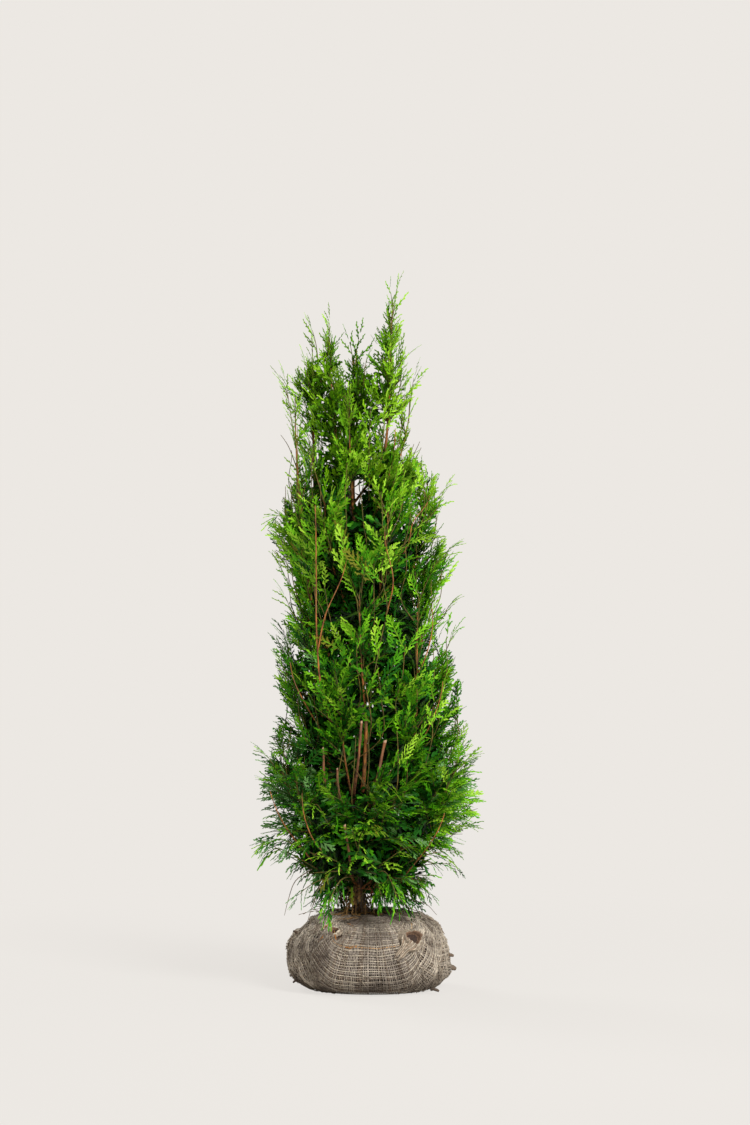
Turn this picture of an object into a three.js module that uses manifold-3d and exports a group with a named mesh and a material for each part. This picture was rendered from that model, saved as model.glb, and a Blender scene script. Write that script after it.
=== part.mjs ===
// A young western red cedar with several upright leaders, lifted with its root ball, and the ball
// wrapped in hessian. Millimetres, +Z up. The origin is the middle of the flat underside, -Y is the side
// the plant is seen from, and turns are degrees about +Z from +X: 270 faces the viewer and 180 is to
// the viewer's left.
import * as THREE from 'three';
import { mergeVertices } from 'three/addons/utils/BufferGeometryUtils.js';
import Module from 'manifold-3d';

const wasm = await Module();
wasm.setup();

// The root ball
const BALL_HALF_WIDTH = 147;
const BALL_HALF_DEPTH = 134;
const BALL_WAIST = 52; // height of its widest ring
const BALL_SHOULDER = 84; // from that ring up to the dome's crest
const BALL_SQUARENESS = 3; // exponent of its superelliptical profile
const BALL_TOP = 134; // the dome is pressed flat here, round the trunk
const BALL_FOOT = 62; // from the widest ring down to where the round would end, below the flat underside
const FOLD_TURNS = [232, 308, 52, 128]; // where the four corners of the wrap are drawn up
const FOLD_HEIGHT = 4;
const FOLD_WIDTH = 13; // degrees
const WRAP_THICKNESS = 2;
const WRAP_OPENING = 30; // radius of the gap that the wrap leaves round the trunk
const CLEARANCE = 0.3; // between solids that touch on the real plant
const WELD = 0.001; // corners closer than this are one corner
const SMOOTHING = 0.1; // how far a fused surface may move to lose needless corners

// The limbs
const TRUNK_FOOT = new THREE.Vector3(-14, 0, BALL_TOP - WRAP_THICKNESS);
const TRUNK_RADIUS = 9.4;
const TRUNK_TIP_RADIUS = 2.4;
const FLARE = 4.5; // how far the root flare stands out at the foot
const FLARE_HEIGHT = 26;

// The crown's outline as height, half-width and how far its middle lies off the origin
const CROWN = [
  [135, 84, -14], [185, 132, -18], [230, 188, -18], [300, 210, -9], [400, 210, 2], [500, 186, 4],
  [680, 172, -6], [860, 170, -16], [940, 142, -24], [1080, 124, -32], [1180, 96, -16], [1265, 60, 20],
];
const CROWN_DEPTH = 0.9; // its depth as a share of its width

// The foliage
const STEM_RADIUS = 2.6;
const STEM_TIP_RADIUS = 1;
const FROND_HALF_THICKNESS = 1.1;
const SHORTEST_FROND = 0.4; // of the full length, before a frond that lacks the space is left out
const CELL_GAP = 4; // between one mass's space and the next
const LIMB_GAP = 3;
const CORE_PLACE = 0.74; // how far out a dense core may stand, as a share of the crown's half-width
const CORE_WIDTH = 0.6; // its half-width as a share of the mass's
const CORE_SIDES = 6;
const CORE_RINGS = 6;
const GOLDEN_SHARE = 0.618;

const X = new THREE.Vector3(1, 0, 0);
const UP = new THREE.Vector3(0, 0, 1);
const radians = THREE.MathUtils.degToRad;
const lerp = THREE.MathUtils.lerp;

// A number from 0 to 1 at each call, the same ones for the same seed.
function seeded(seed) {
  let state = (seed * 2654435761) >>> 0;
  return () => {
    state = (Math.imul(state, 1664525) + 1013904223) >>> 0;
    return state / 2 ** 32;
  };
}

function outward(turn) {
  return new THREE.Vector3(Math.cos(radians(turn)), Math.sin(radians(turn)), 0);
}

function solid(geometry) {
  geometry.deleteAttribute('normal');
  geometry.deleteAttribute('uv');
  const merged = mergeVertices(geometry, WELD);
  return new wasm.Manifold(new wasm.Mesh({
    numProp: 3,
    vertProperties: merged.attributes.position.array,
    triVerts: new Uint32Array(merged.index.array),
  }));
}

function geometryOf(manifold) {
  const mesh = manifold.getMesh();
  return new THREE.BufferGeometry()
    .setAttribute('position', new THREE.BufferAttribute(mesh.vertProperties, 3))
    .setIndex(new THREE.BufferAttribute(mesh.triVerts, 1));
}

// Fuses overlapping solids into one closed body. Decomposing gives a sealed hollow as a body of its own,
// so keeping only the largest body fills the hollows and drops loose scraps.
function fused(solids) {
  const joined = solid(geometryOf(wasm.Manifold.union(solids).simplify(SMOOTHING)));
  return joined.decompose().reduce((best, body) => (body.volume() > best.volume() ? body : best));
}

// Bends an upright shape of unit height and radius along a curve: its Y becomes the way along, and
// radiusAt sets how thick it is at each share of the length.
function bent(geometry, curve, radiusAt) {
  const { position } = geometry.attributes;
  const point = new THREE.Vector3();
  for (let i = 0; i < position.count; i++) {
    point.fromBufferAttribute(position, i);
    const share = THREE.MathUtils.clamp(point.y + 0.5, 0, 1);
    const { side, front } = frameAt(curve, share);
    const radius = radiusAt(share, Math.atan2(point.z, point.x));
    const placed = curve.getPoint(share)
      .addScaledVector(side, point.x * radius)
      .addScaledVector(front, -point.z * radius);
    position.setXYZ(i, placed.x, placed.y, placed.z);
  }
  return geometry;
}

function frameAt(curve, share) {
  const along = curve.getTangent(share);
  const side = X.clone().addScaledVector(along, -X.dot(along)).normalize();
  return { along, side, front: along.clone().cross(side) };
}

// A point on the root ball's surface, or on one that lies `inset` inside it. The ball is a sphere pulled
// into a superelliptical cushion: flat underneath, pressed flat on top, and with a ridge of drawn-up
// hessian at each corner.
function ballSurface(turn, rise, inset) {
  const power = 2 / BALL_SQUARENESS;
  const level = Math.cos(rise) ** power;
  const ridges = FOLD_TURNS.map((at) => {
    const off = Math.abs(((turn - at + 540) % 360) - 180) / FOLD_WIDTH;
    return FOLD_HEIGHT * Math.exp(-off * off) * Math.cos(off * 2.4);
  });
  const stand = ridges.reduce((sum, ridge) => sum + ridge) * Math.max(0, Math.sin(rise * 2));
  const lumps = 1 - 0.014 * Math.sin(radians(3 * turn + 40)) + 0.01 * Math.sin(radians(5 * turn));
  const half = (rise > 0 ? BALL_SHOULDER : BALL_FOOT) - inset;
  const height = BALL_WAIST + half * Math.sign(rise) * Math.abs(Math.sin(rise)) ** power;
  return new THREE.Vector3(
    ((BALL_HALF_WIDTH * lumps - inset) * level + stand) * Math.cos(radians(turn)),
    ((BALL_HALF_DEPTH * lumps - inset) * level + stand) * Math.sin(radians(turn)),
    THREE.MathUtils.clamp(height, inset, BALL_TOP - inset),
  );
}

function ball(inset) {
  const geometry = new THREE.SphereGeometry(1, 32, 12);
  const { position } = geometry.attributes;
  for (let i = 0; i < position.count; i++) {
    const turn = THREE.MathUtils.radToDeg(Math.atan2(-position.getZ(i), position.getX(i)));
    const rise = Math.asin(THREE.MathUtils.clamp(position.getY(i), -1, 1));
    const placed = ballSurface((turn + 360) % 360, rise, inset);
    position.setXYZ(i, placed.x, placed.y, placed.z);
  }
  return solid(geometry);
}

// The hessian goes all round the ball and is open only where the trunk comes out.
function hessianWrap() {
  const opening = new THREE.CylinderGeometry(WRAP_OPENING, WRAP_OPENING, 20, 14)
    .rotateX(Math.PI / 2)
    .translate(TRUNK_FOOT.x, TRUNK_FOOT.y, BALL_TOP);
  return ball(0).subtract(ball(WRAP_THICKNESS)).subtract(solid(opening));
}

// The crown's half-width at a height, and where its middle is there.
function crownAt(height) {
  const above = CROWN.findIndex(([level]) => level > height);
  const next = above < 0 ? CROWN.length - 1 : Math.max(1, above);
  const [low, high] = [CROWN[next - 1], CROWN[next]];
  const share = THREE.MathUtils.clamp((height - low[0]) / (high[0] - low[0]), 0, 1);
  return { half: lerp(low[1], high[1], share), middle: lerp(low[2], high[2], share) };
}

// How far out a point lies, as a share of the crown's half-width at its height.
function outness(point) {
  const { half, middle } = crownAt(point.z);
  return Math.hypot(point.x - middle, point.y / CROWN_DEPTH) / half;
}

// A limb's line: it leaves its foot sideways and bends upright, so most of its way out comes early.
// Arch lifts its middle.
function risingCurve({ foot, tip, arch = 0 }) {
  const steps = 8;
  const points = Array.from({ length: steps + 1 }, (_, k) => {
    const share = k / steps;
    const out = 1 - (1 - share) ** 2;
    const rise = lerp(foot.z, tip.z, share) + arch * 4 * share * (1 - share);
    return new THREE.Vector3(lerp(foot.x, tip.x, out), lerp(foot.y, tip.y, out), rise);
  });
  return new THREE.CatmullRomCurve3(points);
}

// The point at a turn and height that lies a share of the crown's half-width off its middle.
function inCrown(turn, height, place) {
  const { half, middle } = crownAt(height);
  const away = outward(turn).multiplyScalar(half * place);
  return new THREE.Vector3(middle + away.x, away.y * CROWN_DEPTH, height);
}

// The end of a limb, moved on by the clearance, where the stem that carries on from it begins.
function beyond(curve) {
  return curve.getPoint(1).addScaledVector(curve.getTangent(1), CLEARANCE);
}

function limb(curve, footRadius, tipRadius, sides, steps) {
  const shape = new THREE.CylinderGeometry(1, 1, 1, sides, steps);
  return solid(bent(shape, curve, (share) => lerp(footRadius, tipRadius, share)));
}

// The trunk leans left off its foot, straightens, and ends where the left of the two middle leaders begins.
const TRUNK_POINTS = [
  TRUNK_FOOT,
  new THREE.Vector3(-19, -3, 180),
  new THREE.Vector3(-25, -3, 225),
  new THREE.Vector3(-22, 2, 320),
  new THREE.Vector3(-14, 5, 480),
  new THREE.Vector3(-12, 4, 650),
  new THREE.Vector3(-24, 2, 800),
  new THREE.Vector3(-42, 0, 900),
  new THREE.Vector3(-56, 0, 960),
];
const trunkCurve = new THREE.CatmullRomCurve3(TRUNK_POINTS);
const TRUNK_LENGTH = trunkCurve.getLength();

function trunkRadius(share, around = 0) {
  const risen = share * TRUNK_LENGTH;
  const lobes = 1 + 0.35 * Math.cos(3 * around + 0.6);
  return lerp(TRUNK_RADIUS, TRUNK_TIP_RADIUS, share) + FLARE * lobes * Math.exp(-risen / FLARE_HEIGHT);
}

function trunk(curve, extra = 0) {
  const shape = new THREE.CylinderGeometry(1, 1, 1, 8, 16);
  const geometry = bent(shape, curve, (share, around) => trunkRadius(share, around) + extra);
  const { position } = geometry.attributes;
  for (let i = 0; i < position.count; i++) {
    if (position.getZ(i) < TRUNK_FOOT.z + 4) position.setZ(i, TRUNK_FOOT.z); // the flat cut on the ball
  }
  return solid(geometry);
}

function trunkAt(height) {
  let low = 0;
  let high = 1;
  for (let i = 0; i < 24; i++) {
    const middle = (low + high) / 2;
    if (trunkCurve.getPoint(middle).z < height) low = middle;
    else high = middle;
  }
  return trunkCurve.getPoint(low);
}

// Boughs rise off the trunk and end where their foliage begins. The ring of them carries the middle of
// the crown, and the rest carry leaders.
const BOUGH_SIDES = 5;
const BOUGH_STEPS = 6;
const RING = { count: 6, first: 25, lowest: 205, step: 24, place: 0.5, top: 470, radius: 4.6 };
const LEADER_BOUGHS = [
  { name: 'right', at: 790, tip: [26, -4, 915], radius: 3.8 },
  { name: 'centre', at: 760, tip: [-28, 26, 900], radius: 3.4 },
  { name: 'left', at: 560, tip: [-96, 14, 870], radius: 4 },
  { name: 'far_left', at: 470, tip: [-118, -44, 830], radius: 4 },
];

function ringBough(i) {
  const order = (i * 5) % RING.count; // neighbours leave the trunk at different heights
  const turn = RING.first + (360 / RING.count) * i;
  const tip = inCrown(turn, RING.top + 6 * order, RING.place);
  const foot = trunkAt(RING.lowest + RING.step * order);
  return { name: `bough_ring_${i + 1}`, foot, tip, radius: RING.radius };
}

function leaderBough({ name, at, tip, radius }) {
  return { name: `bough_leader_${name}`, foot: trunkAt(at), tip: new THREE.Vector3(...tip), radius };
}

const boughs = [
  ...Array.from({ length: RING.count }, (_, i) => ringBough(i)),
  ...LEADER_BOUGHS.map(leaderBough),
].map((bough) => ({ ...bough, curve: risingCurve(bough) }));

// A mass of foliage stands on the trunk or on a bough's tip and fills the space nearest its stem, as far
// as `wide`. Its fronds turn up to `swing` degrees off its own turn and lean off upright by `lean`, from
// its lowest to its highest, and none stand on the `bare` share of its stem. The tiers ring the trunk
// from the skirt over the ball to the shoulders.
const TIERS = [
  { name: 'skirt', first: 12, at: 166, step: 5, place: 0.6, top: 206, lean: [128, 84], arch: 22, wide: 60 },
  { name: 'low', first: 36, at: 205, step: 7, place: 0.66, top: 340, lean: [96, 30] },
  { name: 'waist', first: 4, at: 290, step: 8, place: 0.64, top: 510, lean: [76, 24] },
  { name: 'middle', first: 25, place: 0.64, top: 690, lean: [72, 22], bare: 0.08 },
  { name: 'upper', first: 356, at: 590, step: 12, place: 0.64, top: 850, lean: [72, 20] },
].map((tier) => ({ count: 6, swing: 105, fronds: 9, frond: 136, wide: 76, bare: 0.3, core: true, ...tier }));
const LEADERS = [
  { name: 'right', bough: 'right', tip: [40, -6, 1188], fronds: 15, bare: 0.02 },
  { name: 'centre', bough: 'centre', tip: [-26, 14, 1112], bare: 0.02 },
  { name: 'left_centre', tip: [-69, -4, 1146], fronds: 8, bare: 0.02 },
  { name: 'left', bough: 'left', tip: [-100, 16, 1128], fronds: 14, bare: 0.02 },
  { name: 'far_left', bough: 'far_left', tip: [-130, -16, 1040], bare: 0.02 },
  { name: 'far_right', at: 800, tip: [72, 12, 1040] },
  { name: 'back', at: 830, tip: [-52, 74, 1040] },
  { name: 'front', at: 815, tip: [-34, -70, 1010] },
  { name: 'back_right', at: 850, tip: [32, 66, 1000] },
  { name: 'front_right', at: 780, tip: [46, -58, 985] },
].map((leader) => ({ swing: 180, fronds: 14, frond: 108, wide: 54, lean: [66, 10], bare: 0.3, ...leader }));

function tierMasses(tier) {
  return Array.from({ length: tier.count }, (_, i) => {
    const turn = tier.first + (360 / tier.count) * i;
    const foot = tier.at ? trunkAt(tier.at + tier.step * ((i * 5) % tier.count)) : beyond(boughs[i].curve);
    const tip = inCrown(turn, tier.top + 7 * ((i * 2) % 5) - 14, tier.place);
    return { ...tier, name: `foliage_${tier.name}_${i + 1}`, turn, foot, tip };
  });
}

function leaderMass(leader) {
  const parent = boughs.find((bough) => bough.name === `bough_leader_${leader.bough}`);
  const foot = leader.at ? trunkAt(leader.at) : beyond(parent ? parent.curve : trunkCurve);
  const tip = new THREE.Vector3(...leader.tip);
  return { ...leader, name: `foliage_leader_${leader.name}`, turn: 0, foot, tip };
}

// The line that a mass's fronds gather round: its stem, carried on past the tip.
function gatheringLine(curve, past) {
  return [...curve.getPoints(9).slice(1), curve.getPoint(1).addScaledVector(curve.getTangent(1), past)];
}

const masses = [...TIERS.flatMap(tierMasses), ...LEADERS.map(leaderMass)].map((mass, i) => {
  const curve = risingCurve(mass);
  return { ...mass, curve, seed: i + 1, line: gatheringLine(curve, mass.frond) };
});

const segment = new THREE.Line3();
const nearest = new THREE.Vector3();

function distanceTo(line, point) {
  let least = Infinity;
  for (let i = 0; i + 1 < line.length; i++) {
    segment.set(line[i], line[i + 1]).closestPointToPoint(point, true, nearest);
    least = Math.min(least, nearest.distanceTo(point));
  }
  return least;
}

const limbLines = [
  { line: trunkCurve.getPoints(24), radius: TRUNK_RADIUS },
  ...boughs.map(({ curve, radius }) => ({ line: curve.getPoints(12), radius })),
];

// True where a point is in the mass's own space: nearer its line than any other's, within the crown, and
// clear of the limbs and the ball.
function owns(mass, point, farthestOut) {
  const own = distanceTo(mass.line, point);
  if (own > mass.wide * 1.9 || outness(point) > farthestOut || point.z < BALL_TOP + 10) return false;
  if (limbLines.some(({ line, radius }) => distanceTo(line, point) < radius + LIMB_GAP)) return false;
  return masses.every((other) => other === mass || distanceTo(other.line, point) > own + CELL_GAP);
}

// The dense heart of a mass, a spindle round its stem that swells until it meets the edge of the mass's
// own space.
function coreSolid(mass) {
  const geometry = new THREE.SphereGeometry(1, CORE_SIDES, CORE_RINGS);
  const { position } = geometry.attributes;
  const point = new THREE.Vector3();
  for (let i = 0; i < position.count; i++) {
    point.fromBufferAttribute(position, i);
    const rise = 0.5 + point.y / 2;
    const share = lerp(mass.bare, 1, rise);
    const { along, side, front } = frameAt(mass.curve, share);
    const axis = mass.curve.getPoint(share).addScaledVector(along, 50 * rise ** 4);
    const round = Math.hypot(point.x, point.z);
    if (round > 0.01) {
      const away = side.multiplyScalar(point.x / round).addScaledVector(front, -point.z / round);
      const widest = mass.wide * CORE_WIDTH * round ** 1.4;
      const isFree = (radius) => owns(mass, axis.clone().addScaledVector(away, radius + 4), CORE_PLACE);
      let radius = 4;
      while (radius < widest && isFree(radius)) radius += 2;
      axis.addScaledVector(away, radius);
    }
    position.setXYZ(i, axis.x, axis.y, axis.z);
  }
  return solid(geometry);
}

// A frond's outline in shares of its length, x along the rib: the root, the alternate teeth that stand
// for side sprays, and the tip. Every corner is in plain sight of the rib's high point, so that two fans
// of faces close it.
const FROND_HIGH_POINT = [0.4, 0];
const LEFT_TEETH = [[0.42, 0.19], [0.47, 0.07], [0.71, 0.14], [0.73, 0.045]];
const RIGHT_TEETH = [[0.6, -0.17], [0.49, -0.06], [0.3, -0.15]];
const FROND_OUTLINE = [[0, 0], ...LEFT_TEETH, [1, 0], ...RIGHT_TEETH];
const WING_DROOP = 0.22; // how far a tooth hangs below the rib, as a share of how far it stands out
const TIP_DROOP = 0.07;

function frondPoints({ root, along, across, face, length }) {
  const place = ([x, y], lift) => root.clone()
    .addScaledVector(along, x * length)
    .addScaledVector(across, y * length)
    .addScaledVector(face, lift - length * (Math.abs(y) * WING_DROOP + x * x * TIP_DROOP));
  return {
    rim: FROND_OUTLINE.map((corner) => place(corner, 0)),
    over: place(FROND_HIGH_POINT, FROND_HALF_THICKNESS),
    under: place(FROND_HIGH_POINT, -FROND_HALF_THICKNESS),
  };
}

function frondSolid(frond) {
  const { rim, over, under } = frondPoints(frond);
  const count = rim.length;
  const index = rim.flatMap((_, i) => {
    const next = (i + 1) % count;
    return [i, count, next, next, count + 1, i];
  });
  return solid(new THREE.BufferGeometry().setFromPoints([...rim, over, under]).setIndex(index));
}

// True where a frond, past the part that is sunk in its own mass, stays in the mass's space.
function fits(mass, frond) {
  const { rim, over } = frondPoints(frond);
  const steps = 4;
  for (let i = 0; i < rim.length; i++) {
    for (let k = 0; k < steps; k++) {
      const edge = rim[i].clone().lerp(rim[(i + 1) % rim.length], (k % 2) / 2);
      const point = over.clone().lerp(edge, (k + 1) / steps);
      if (point.distanceTo(frond.root) > 12 && !owns(mass, point, frond.farthestOut)) return false;
    }
  }
  return true;
}

// The fronds of a mass, spaced up its stem and dealt round it by the golden section. One that leaves the
// mass's space is tried shorter, and then left out.
function frondsOf(mass) {
  const random = seeded(mass.seed);
  const fronds = [];
  for (let i = 0; i <= mass.fronds; i++) {
    const rise = i / mass.fronds;
    const swing = mass.swing * (2 * ((i * GOLDEN_SHARE + 0.12 * random()) % 1) - 1);
    const away = outward(mass.turn + swing);
    const lean = radians(lerp(mass.lean[0], mass.lean[1], rise) + 16 * (random() - 0.5));
    const along = UP.clone().multiplyScalar(Math.cos(lean)).addScaledVector(away, Math.sin(lean));
    const level = outward(mass.turn + swing + 90);
    const across = level.applyAxisAngle(along, radians(110 * (random() - 0.5)));
    const face = along.clone().cross(across);
    const root = mass.curve.getPoint(lerp(mass.bare, 1, rise));
    const length = mass.frond * lerp(0.82, 1.08, random());
    const farthestOut = lerp(0.94, 1.12, random());
    for (let size = 1; size >= SHORTEST_FROND; size -= 0.125) {
      const frond = { root, along, across, face, length: length * size, farthestOut };
      if (fits(mass, frond)) {
        fronds.push(frond);
        break;
      }
    }
  }
  return fronds;
}

function bough({ curve, radius }, extra = 0) {
  return limb(curve, radius + extra, STEM_RADIUS + extra, BOUGH_SIDES, BOUGH_STEPS);
}

function stem({ curve }, extra = 0) {
  return limb(curve, STEM_RADIUS + extra, STEM_TIP_RADIUS + extra, 3, 5);
}

// The limbs again, swollen and lengthened by the clearance, to cut what stands against them.
const longerTrunk = new THREE.CatmullRomCurve3([...TRUNK_POINTS.slice(0, -1), beyond(trunkCurve)]);
const clearTrunk = trunk(longerTrunk, CLEARANCE);
const clearBoughs = boughs.map((each) => {
  const longer = risingCurve({ ...each, tip: beyond(each.curve) });
  return bough({ ...each, curve: longer }, CLEARANCE);
});
const clearLimbs = wasm.Manifold.union([clearTrunk, ...clearBoughs]);

function foliage(mass) {
  const pieces = [stem(mass), ...frondsOf(mass).map(frondSolid)];
  if (mass.core) pieces.push(coreSolid(mass));
  const otherStems = masses.filter((other) => other !== mass).map((other) => stem(other, CLEARANCE));
  return fused([fused(pieces).subtract(wasm.Manifold.union([clearLimbs, ...otherStems]))]);
}

const bark = new THREE.MeshStandardMaterial({ color: 0x6b5a4c, roughness: 0.9, metalness: 0 });
const youngBark = new THREE.MeshStandardMaterial({ color: 0x8a4f2c, roughness: 0.8, metalness: 0 });
const cedarGreen = new THREE.MeshStandardMaterial({ color: 0x3f7a1c, roughness: 0.6, metalness: 0 });
const soil = new THREE.MeshStandardMaterial({ color: 0x3a2c21, roughness: 1, metalness: 0 });
const hessian = new THREE.MeshStandardMaterial({ color: 0x84755f, roughness: 0.95, metalness: 0 });

const plant = new THREE.Group();

function add(name, manifold, material) {
  const mesh = new THREE.Mesh(geometryOf(manifold), material);
  mesh.name = name;
  plant.add(mesh);
}

add('hessian_wrap', hessianWrap(), hessian);
add('root_ball', ball(WRAP_THICKNESS + CLEARANCE), soil);
add('trunk', trunk(trunkCurve), bark);
for (const each of boughs) add(each.name, fused([bough(each).subtract(clearTrunk)]), youngBark);
for (const mass of masses) add(mass.name, foliage(mass), cedarGreen);

export default plant;
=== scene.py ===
import math

import bpy
import numpy as np
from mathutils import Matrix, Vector, noise


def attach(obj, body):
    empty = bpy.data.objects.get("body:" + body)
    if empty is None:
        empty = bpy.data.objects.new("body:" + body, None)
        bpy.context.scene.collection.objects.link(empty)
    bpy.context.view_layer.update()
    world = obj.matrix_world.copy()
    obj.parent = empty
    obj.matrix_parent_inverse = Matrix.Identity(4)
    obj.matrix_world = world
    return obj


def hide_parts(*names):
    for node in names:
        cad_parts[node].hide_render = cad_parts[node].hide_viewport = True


# A young western red cedar with several upright leaders, lifted with its root ball, and the ball wrapped
# in hessian. Metres, +Z up, -Y towards the viewer, and turns in degrees about +Z from +X, so that 270
# faces the viewer.
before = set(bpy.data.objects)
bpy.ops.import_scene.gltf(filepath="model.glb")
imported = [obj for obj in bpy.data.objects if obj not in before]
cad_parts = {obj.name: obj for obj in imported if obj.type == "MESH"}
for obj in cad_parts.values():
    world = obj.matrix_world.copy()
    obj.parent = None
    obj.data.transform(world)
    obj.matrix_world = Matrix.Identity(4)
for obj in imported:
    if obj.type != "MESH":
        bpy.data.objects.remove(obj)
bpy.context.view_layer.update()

# The camera. The photograph is upright and level, taken from well back through a long lens, so that its
# height spans a little under two metres at the trunk.
CAMERA_PLACE = (0.0106, -5.5, 0.751)
SPAN_AT_TRUNK = 1.986
SENSOR = 36.0  # millimetres, along the picture's height

camera = bpy.data.objects.new("camera", bpy.data.cameras.new("camera"))
camera.location = CAMERA_PLACE
camera.rotation_euler = (math.radians(90), 0, 0)
camera.data.sensor_width = SENSOR
camera.data.lens = SENSOR * -CAMERA_PLACE[1] / SPAN_AT_TRUNK
camera.data.clip_end = 200
bpy.context.scene.collection.objects.link(camera)
bpy.context.scene.camera = camera
bpy.context.scene.view_settings.view_transform = "Standard"


# The studio. A warm white floor runs back until it can't be told from the backdrop. Soft light comes from
# a wide lamp at the front right, a weaker one behind at the left, and the pale room itself.
class Tone:
    """A socket to reckon with: a sum on it, or on a number and it, adds the Math node that works it out."""

    def __init__(self, finish, socket):
        self.finish, self.socket = finish, socket

    def maths(self, operation, first, second):
        return self.finish.node("ShaderNodeMath", {"operation": operation}, {0: first, 1: second})

    def __add__(self, other):
        return self.maths("ADD", self, other)

    def __sub__(self, other):
        return self.maths("SUBTRACT", self, other)

    def __rsub__(self, other):
        return self.maths("SUBTRACT", other, self)

    def __mul__(self, other):
        return self.maths("MULTIPLY", self, other)

    def __truediv__(self, other):
        return self.maths("DIVIDE", self, other)

    __radd__ = __add__
    __rmul__ = __mul__

    def held(self):
        """The same, held between 0 and 1."""
        return self.finish.node("ShaderNodeClamp", {}, {"Value": self})


class Finish:
    """A material, or the world's light, and the nodes that make it."""

    def __init__(self, name, owner=None):
        self.owner = owner or bpy.data.materials.new(name)
        self.owner.use_nodes = True
        self.tree = self.owner.node_tree
        self.tree.nodes.clear()

    def node(self, kind, settings, sockets, output=0):
        """Adds a node, makes its settings, fills or links its sockets, and gives back one output."""
        made = self.tree.nodes.new(kind)
        for name, value in settings.items():
            setattr(made, name, value)
        for name, value in sockets.items():
            if isinstance(value, Tone):
                self.tree.links.new(value.socket, made.inputs[name])
            else:
                made.inputs[name].default_value = value
        return Tone(self, made.outputs[output]) if made.outputs else None

    def mixed(self, share, first, second):
        """Two colours mixed by a share that varies."""
        first, second = (c if isinstance(c, Tone) else (*c, 1) for c in (first, second))
        return self.node("ShaderNodeMix", {"data_type": "RGBA"}, {"Factor": share, 6: first, 7: second}, 2)

    def grain(self, place, scale, detail, roughness=0.5):
        """Cloudy noise, which has this many lumps in a metre."""
        sockets = {"Vector": place, "Scale": scale, "Detail": detail, "Roughness": roughness}
        return self.node("ShaderNodeTexNoise", {}, sockets)

    def place(self):
        """Where each point of a piece is."""
        return self.node("ShaderNodeTexCoord", {}, {}, "Object")

    def shaded(self, tone, roughness, height, strength, distance, sheen=0.5):
        """Closes the material with a shader, whose surface stands up and down with a height."""
        sockets = {"Height": height, "Strength": strength, "Distance": distance}
        bumps = self.node("ShaderNodeBump", {}, sockets)
        sockets = {"Base Color": tone, "Roughness": roughness, "Normal": bumps, "Specular IOR Level": sheen}
        shader = self.node("ShaderNodeBsdfPrincipled", {}, sockets)
        self.node("ShaderNodeOutputMaterial", {}, {"Surface": shader})
        return self.owner


def colour(red, green, blue):
    """A colour as a paint chart gives it, 0 to 255, in the linear light that the shaders take."""
    return tuple(((c / 255 + 0.055) / 1.055) ** 2.4 if c > 10 else c / 3295 for c in (red, green, blue))


BACKDROP = colour(236, 232, 227)
ROOM_LIGHT = 0.42
FLOOR_RADIUS = 60.0
FLOOR_TONE = (0.70, 0.685, 0.66)
FLOOR_SIDES = 64
FADE_START, FADE_END = 0.25, 1.6  # where the floor begins and ends to fade into the backdrop
FADED_AT_FOOT = 0.84  # how far it has faded already where the plant stands
KEY_LAMP = {"place": (2.3, -3.4, 3.1), "size": 1.8, "watts": 262}
BACK_LAMP = {"place": (-2.4, 2.6, 2.6), "size": 1.6, "watts": 90}
LIT_POINT = Vector((0, 0, 0.6))


def room():
    world = bpy.data.worlds.new("studio_room")
    bpy.context.scene.world = world
    air = Finish("studio_room", world)
    seen = air.node("ShaderNodeLightPath", {}, {}, "Is Camera Ray")
    strength = ROOM_LIGHT + (1 - ROOM_LIGHT) * seen
    light = air.node("ShaderNodeBackground", {}, {"Color": (*BACKDROP, 1), "Strength": strength})
    air.node("ShaderNodeOutputWorld", {}, {"Surface": light})


def floor():
    paint = Finish("floor_paint")
    place = paint.node("ShaderNodeNewGeometry", {}, {}, "Position")
    away = paint.node("ShaderNodeVectorMath", {"operation": "LENGTH"}, {0: place}, "Value")
    faded = ((away - FADE_START) / (FADE_END - FADE_START)).held() * (1 - FADED_AT_FOOT) + FADED_AT_FOOT
    seen = paint.node("ShaderNodeLightPath", {}, {}, "Is Camera Ray")
    plain = paint.node("ShaderNodeEmission", {}, {"Color": (*BACKDROP, 1)})
    lit = paint.node("ShaderNodeBsdfDiffuse", {}, {"Color": (*FLOOR_TONE, 1)})
    both = paint.node("ShaderNodeMixShader", {}, {0: faded * seen, 1: lit, 2: plain})
    paint.node("ShaderNodeOutputMaterial", {}, {"Surface": both})
    mesh = bpy.data.meshes.new("floor")
    turns = [2 * math.pi * i / FLOOR_SIDES for i in range(FLOOR_SIDES)]
    rim = [(FLOOR_RADIUS * math.cos(turn), FLOOR_RADIUS * math.sin(turn), 0) for turn in turns]
    mesh.from_pydata(rim, [], [tuple(range(FLOOR_SIDES))])
    mesh.materials.append(paint.owner)
    sheet = bpy.data.objects.new("floor", mesh)
    bpy.context.scene.collection.objects.link(sheet)


def lamp(name, place, size, watts):
    light = bpy.data.lights.new(name, "AREA")
    light.shape, light.size, light.energy = "DISK", size, watts
    held = bpy.data.objects.new(name, light)
    held.location = place
    held.rotation_euler = (LIT_POINT - held.location).to_track_quat("-Z", "Y").to_euler()
    bpy.context.scene.collection.objects.link(held)


room()
floor()
lamp("key_lamp", **KEY_LAMP)
lamp("back_lamp", **BACK_LAMP)


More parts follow.
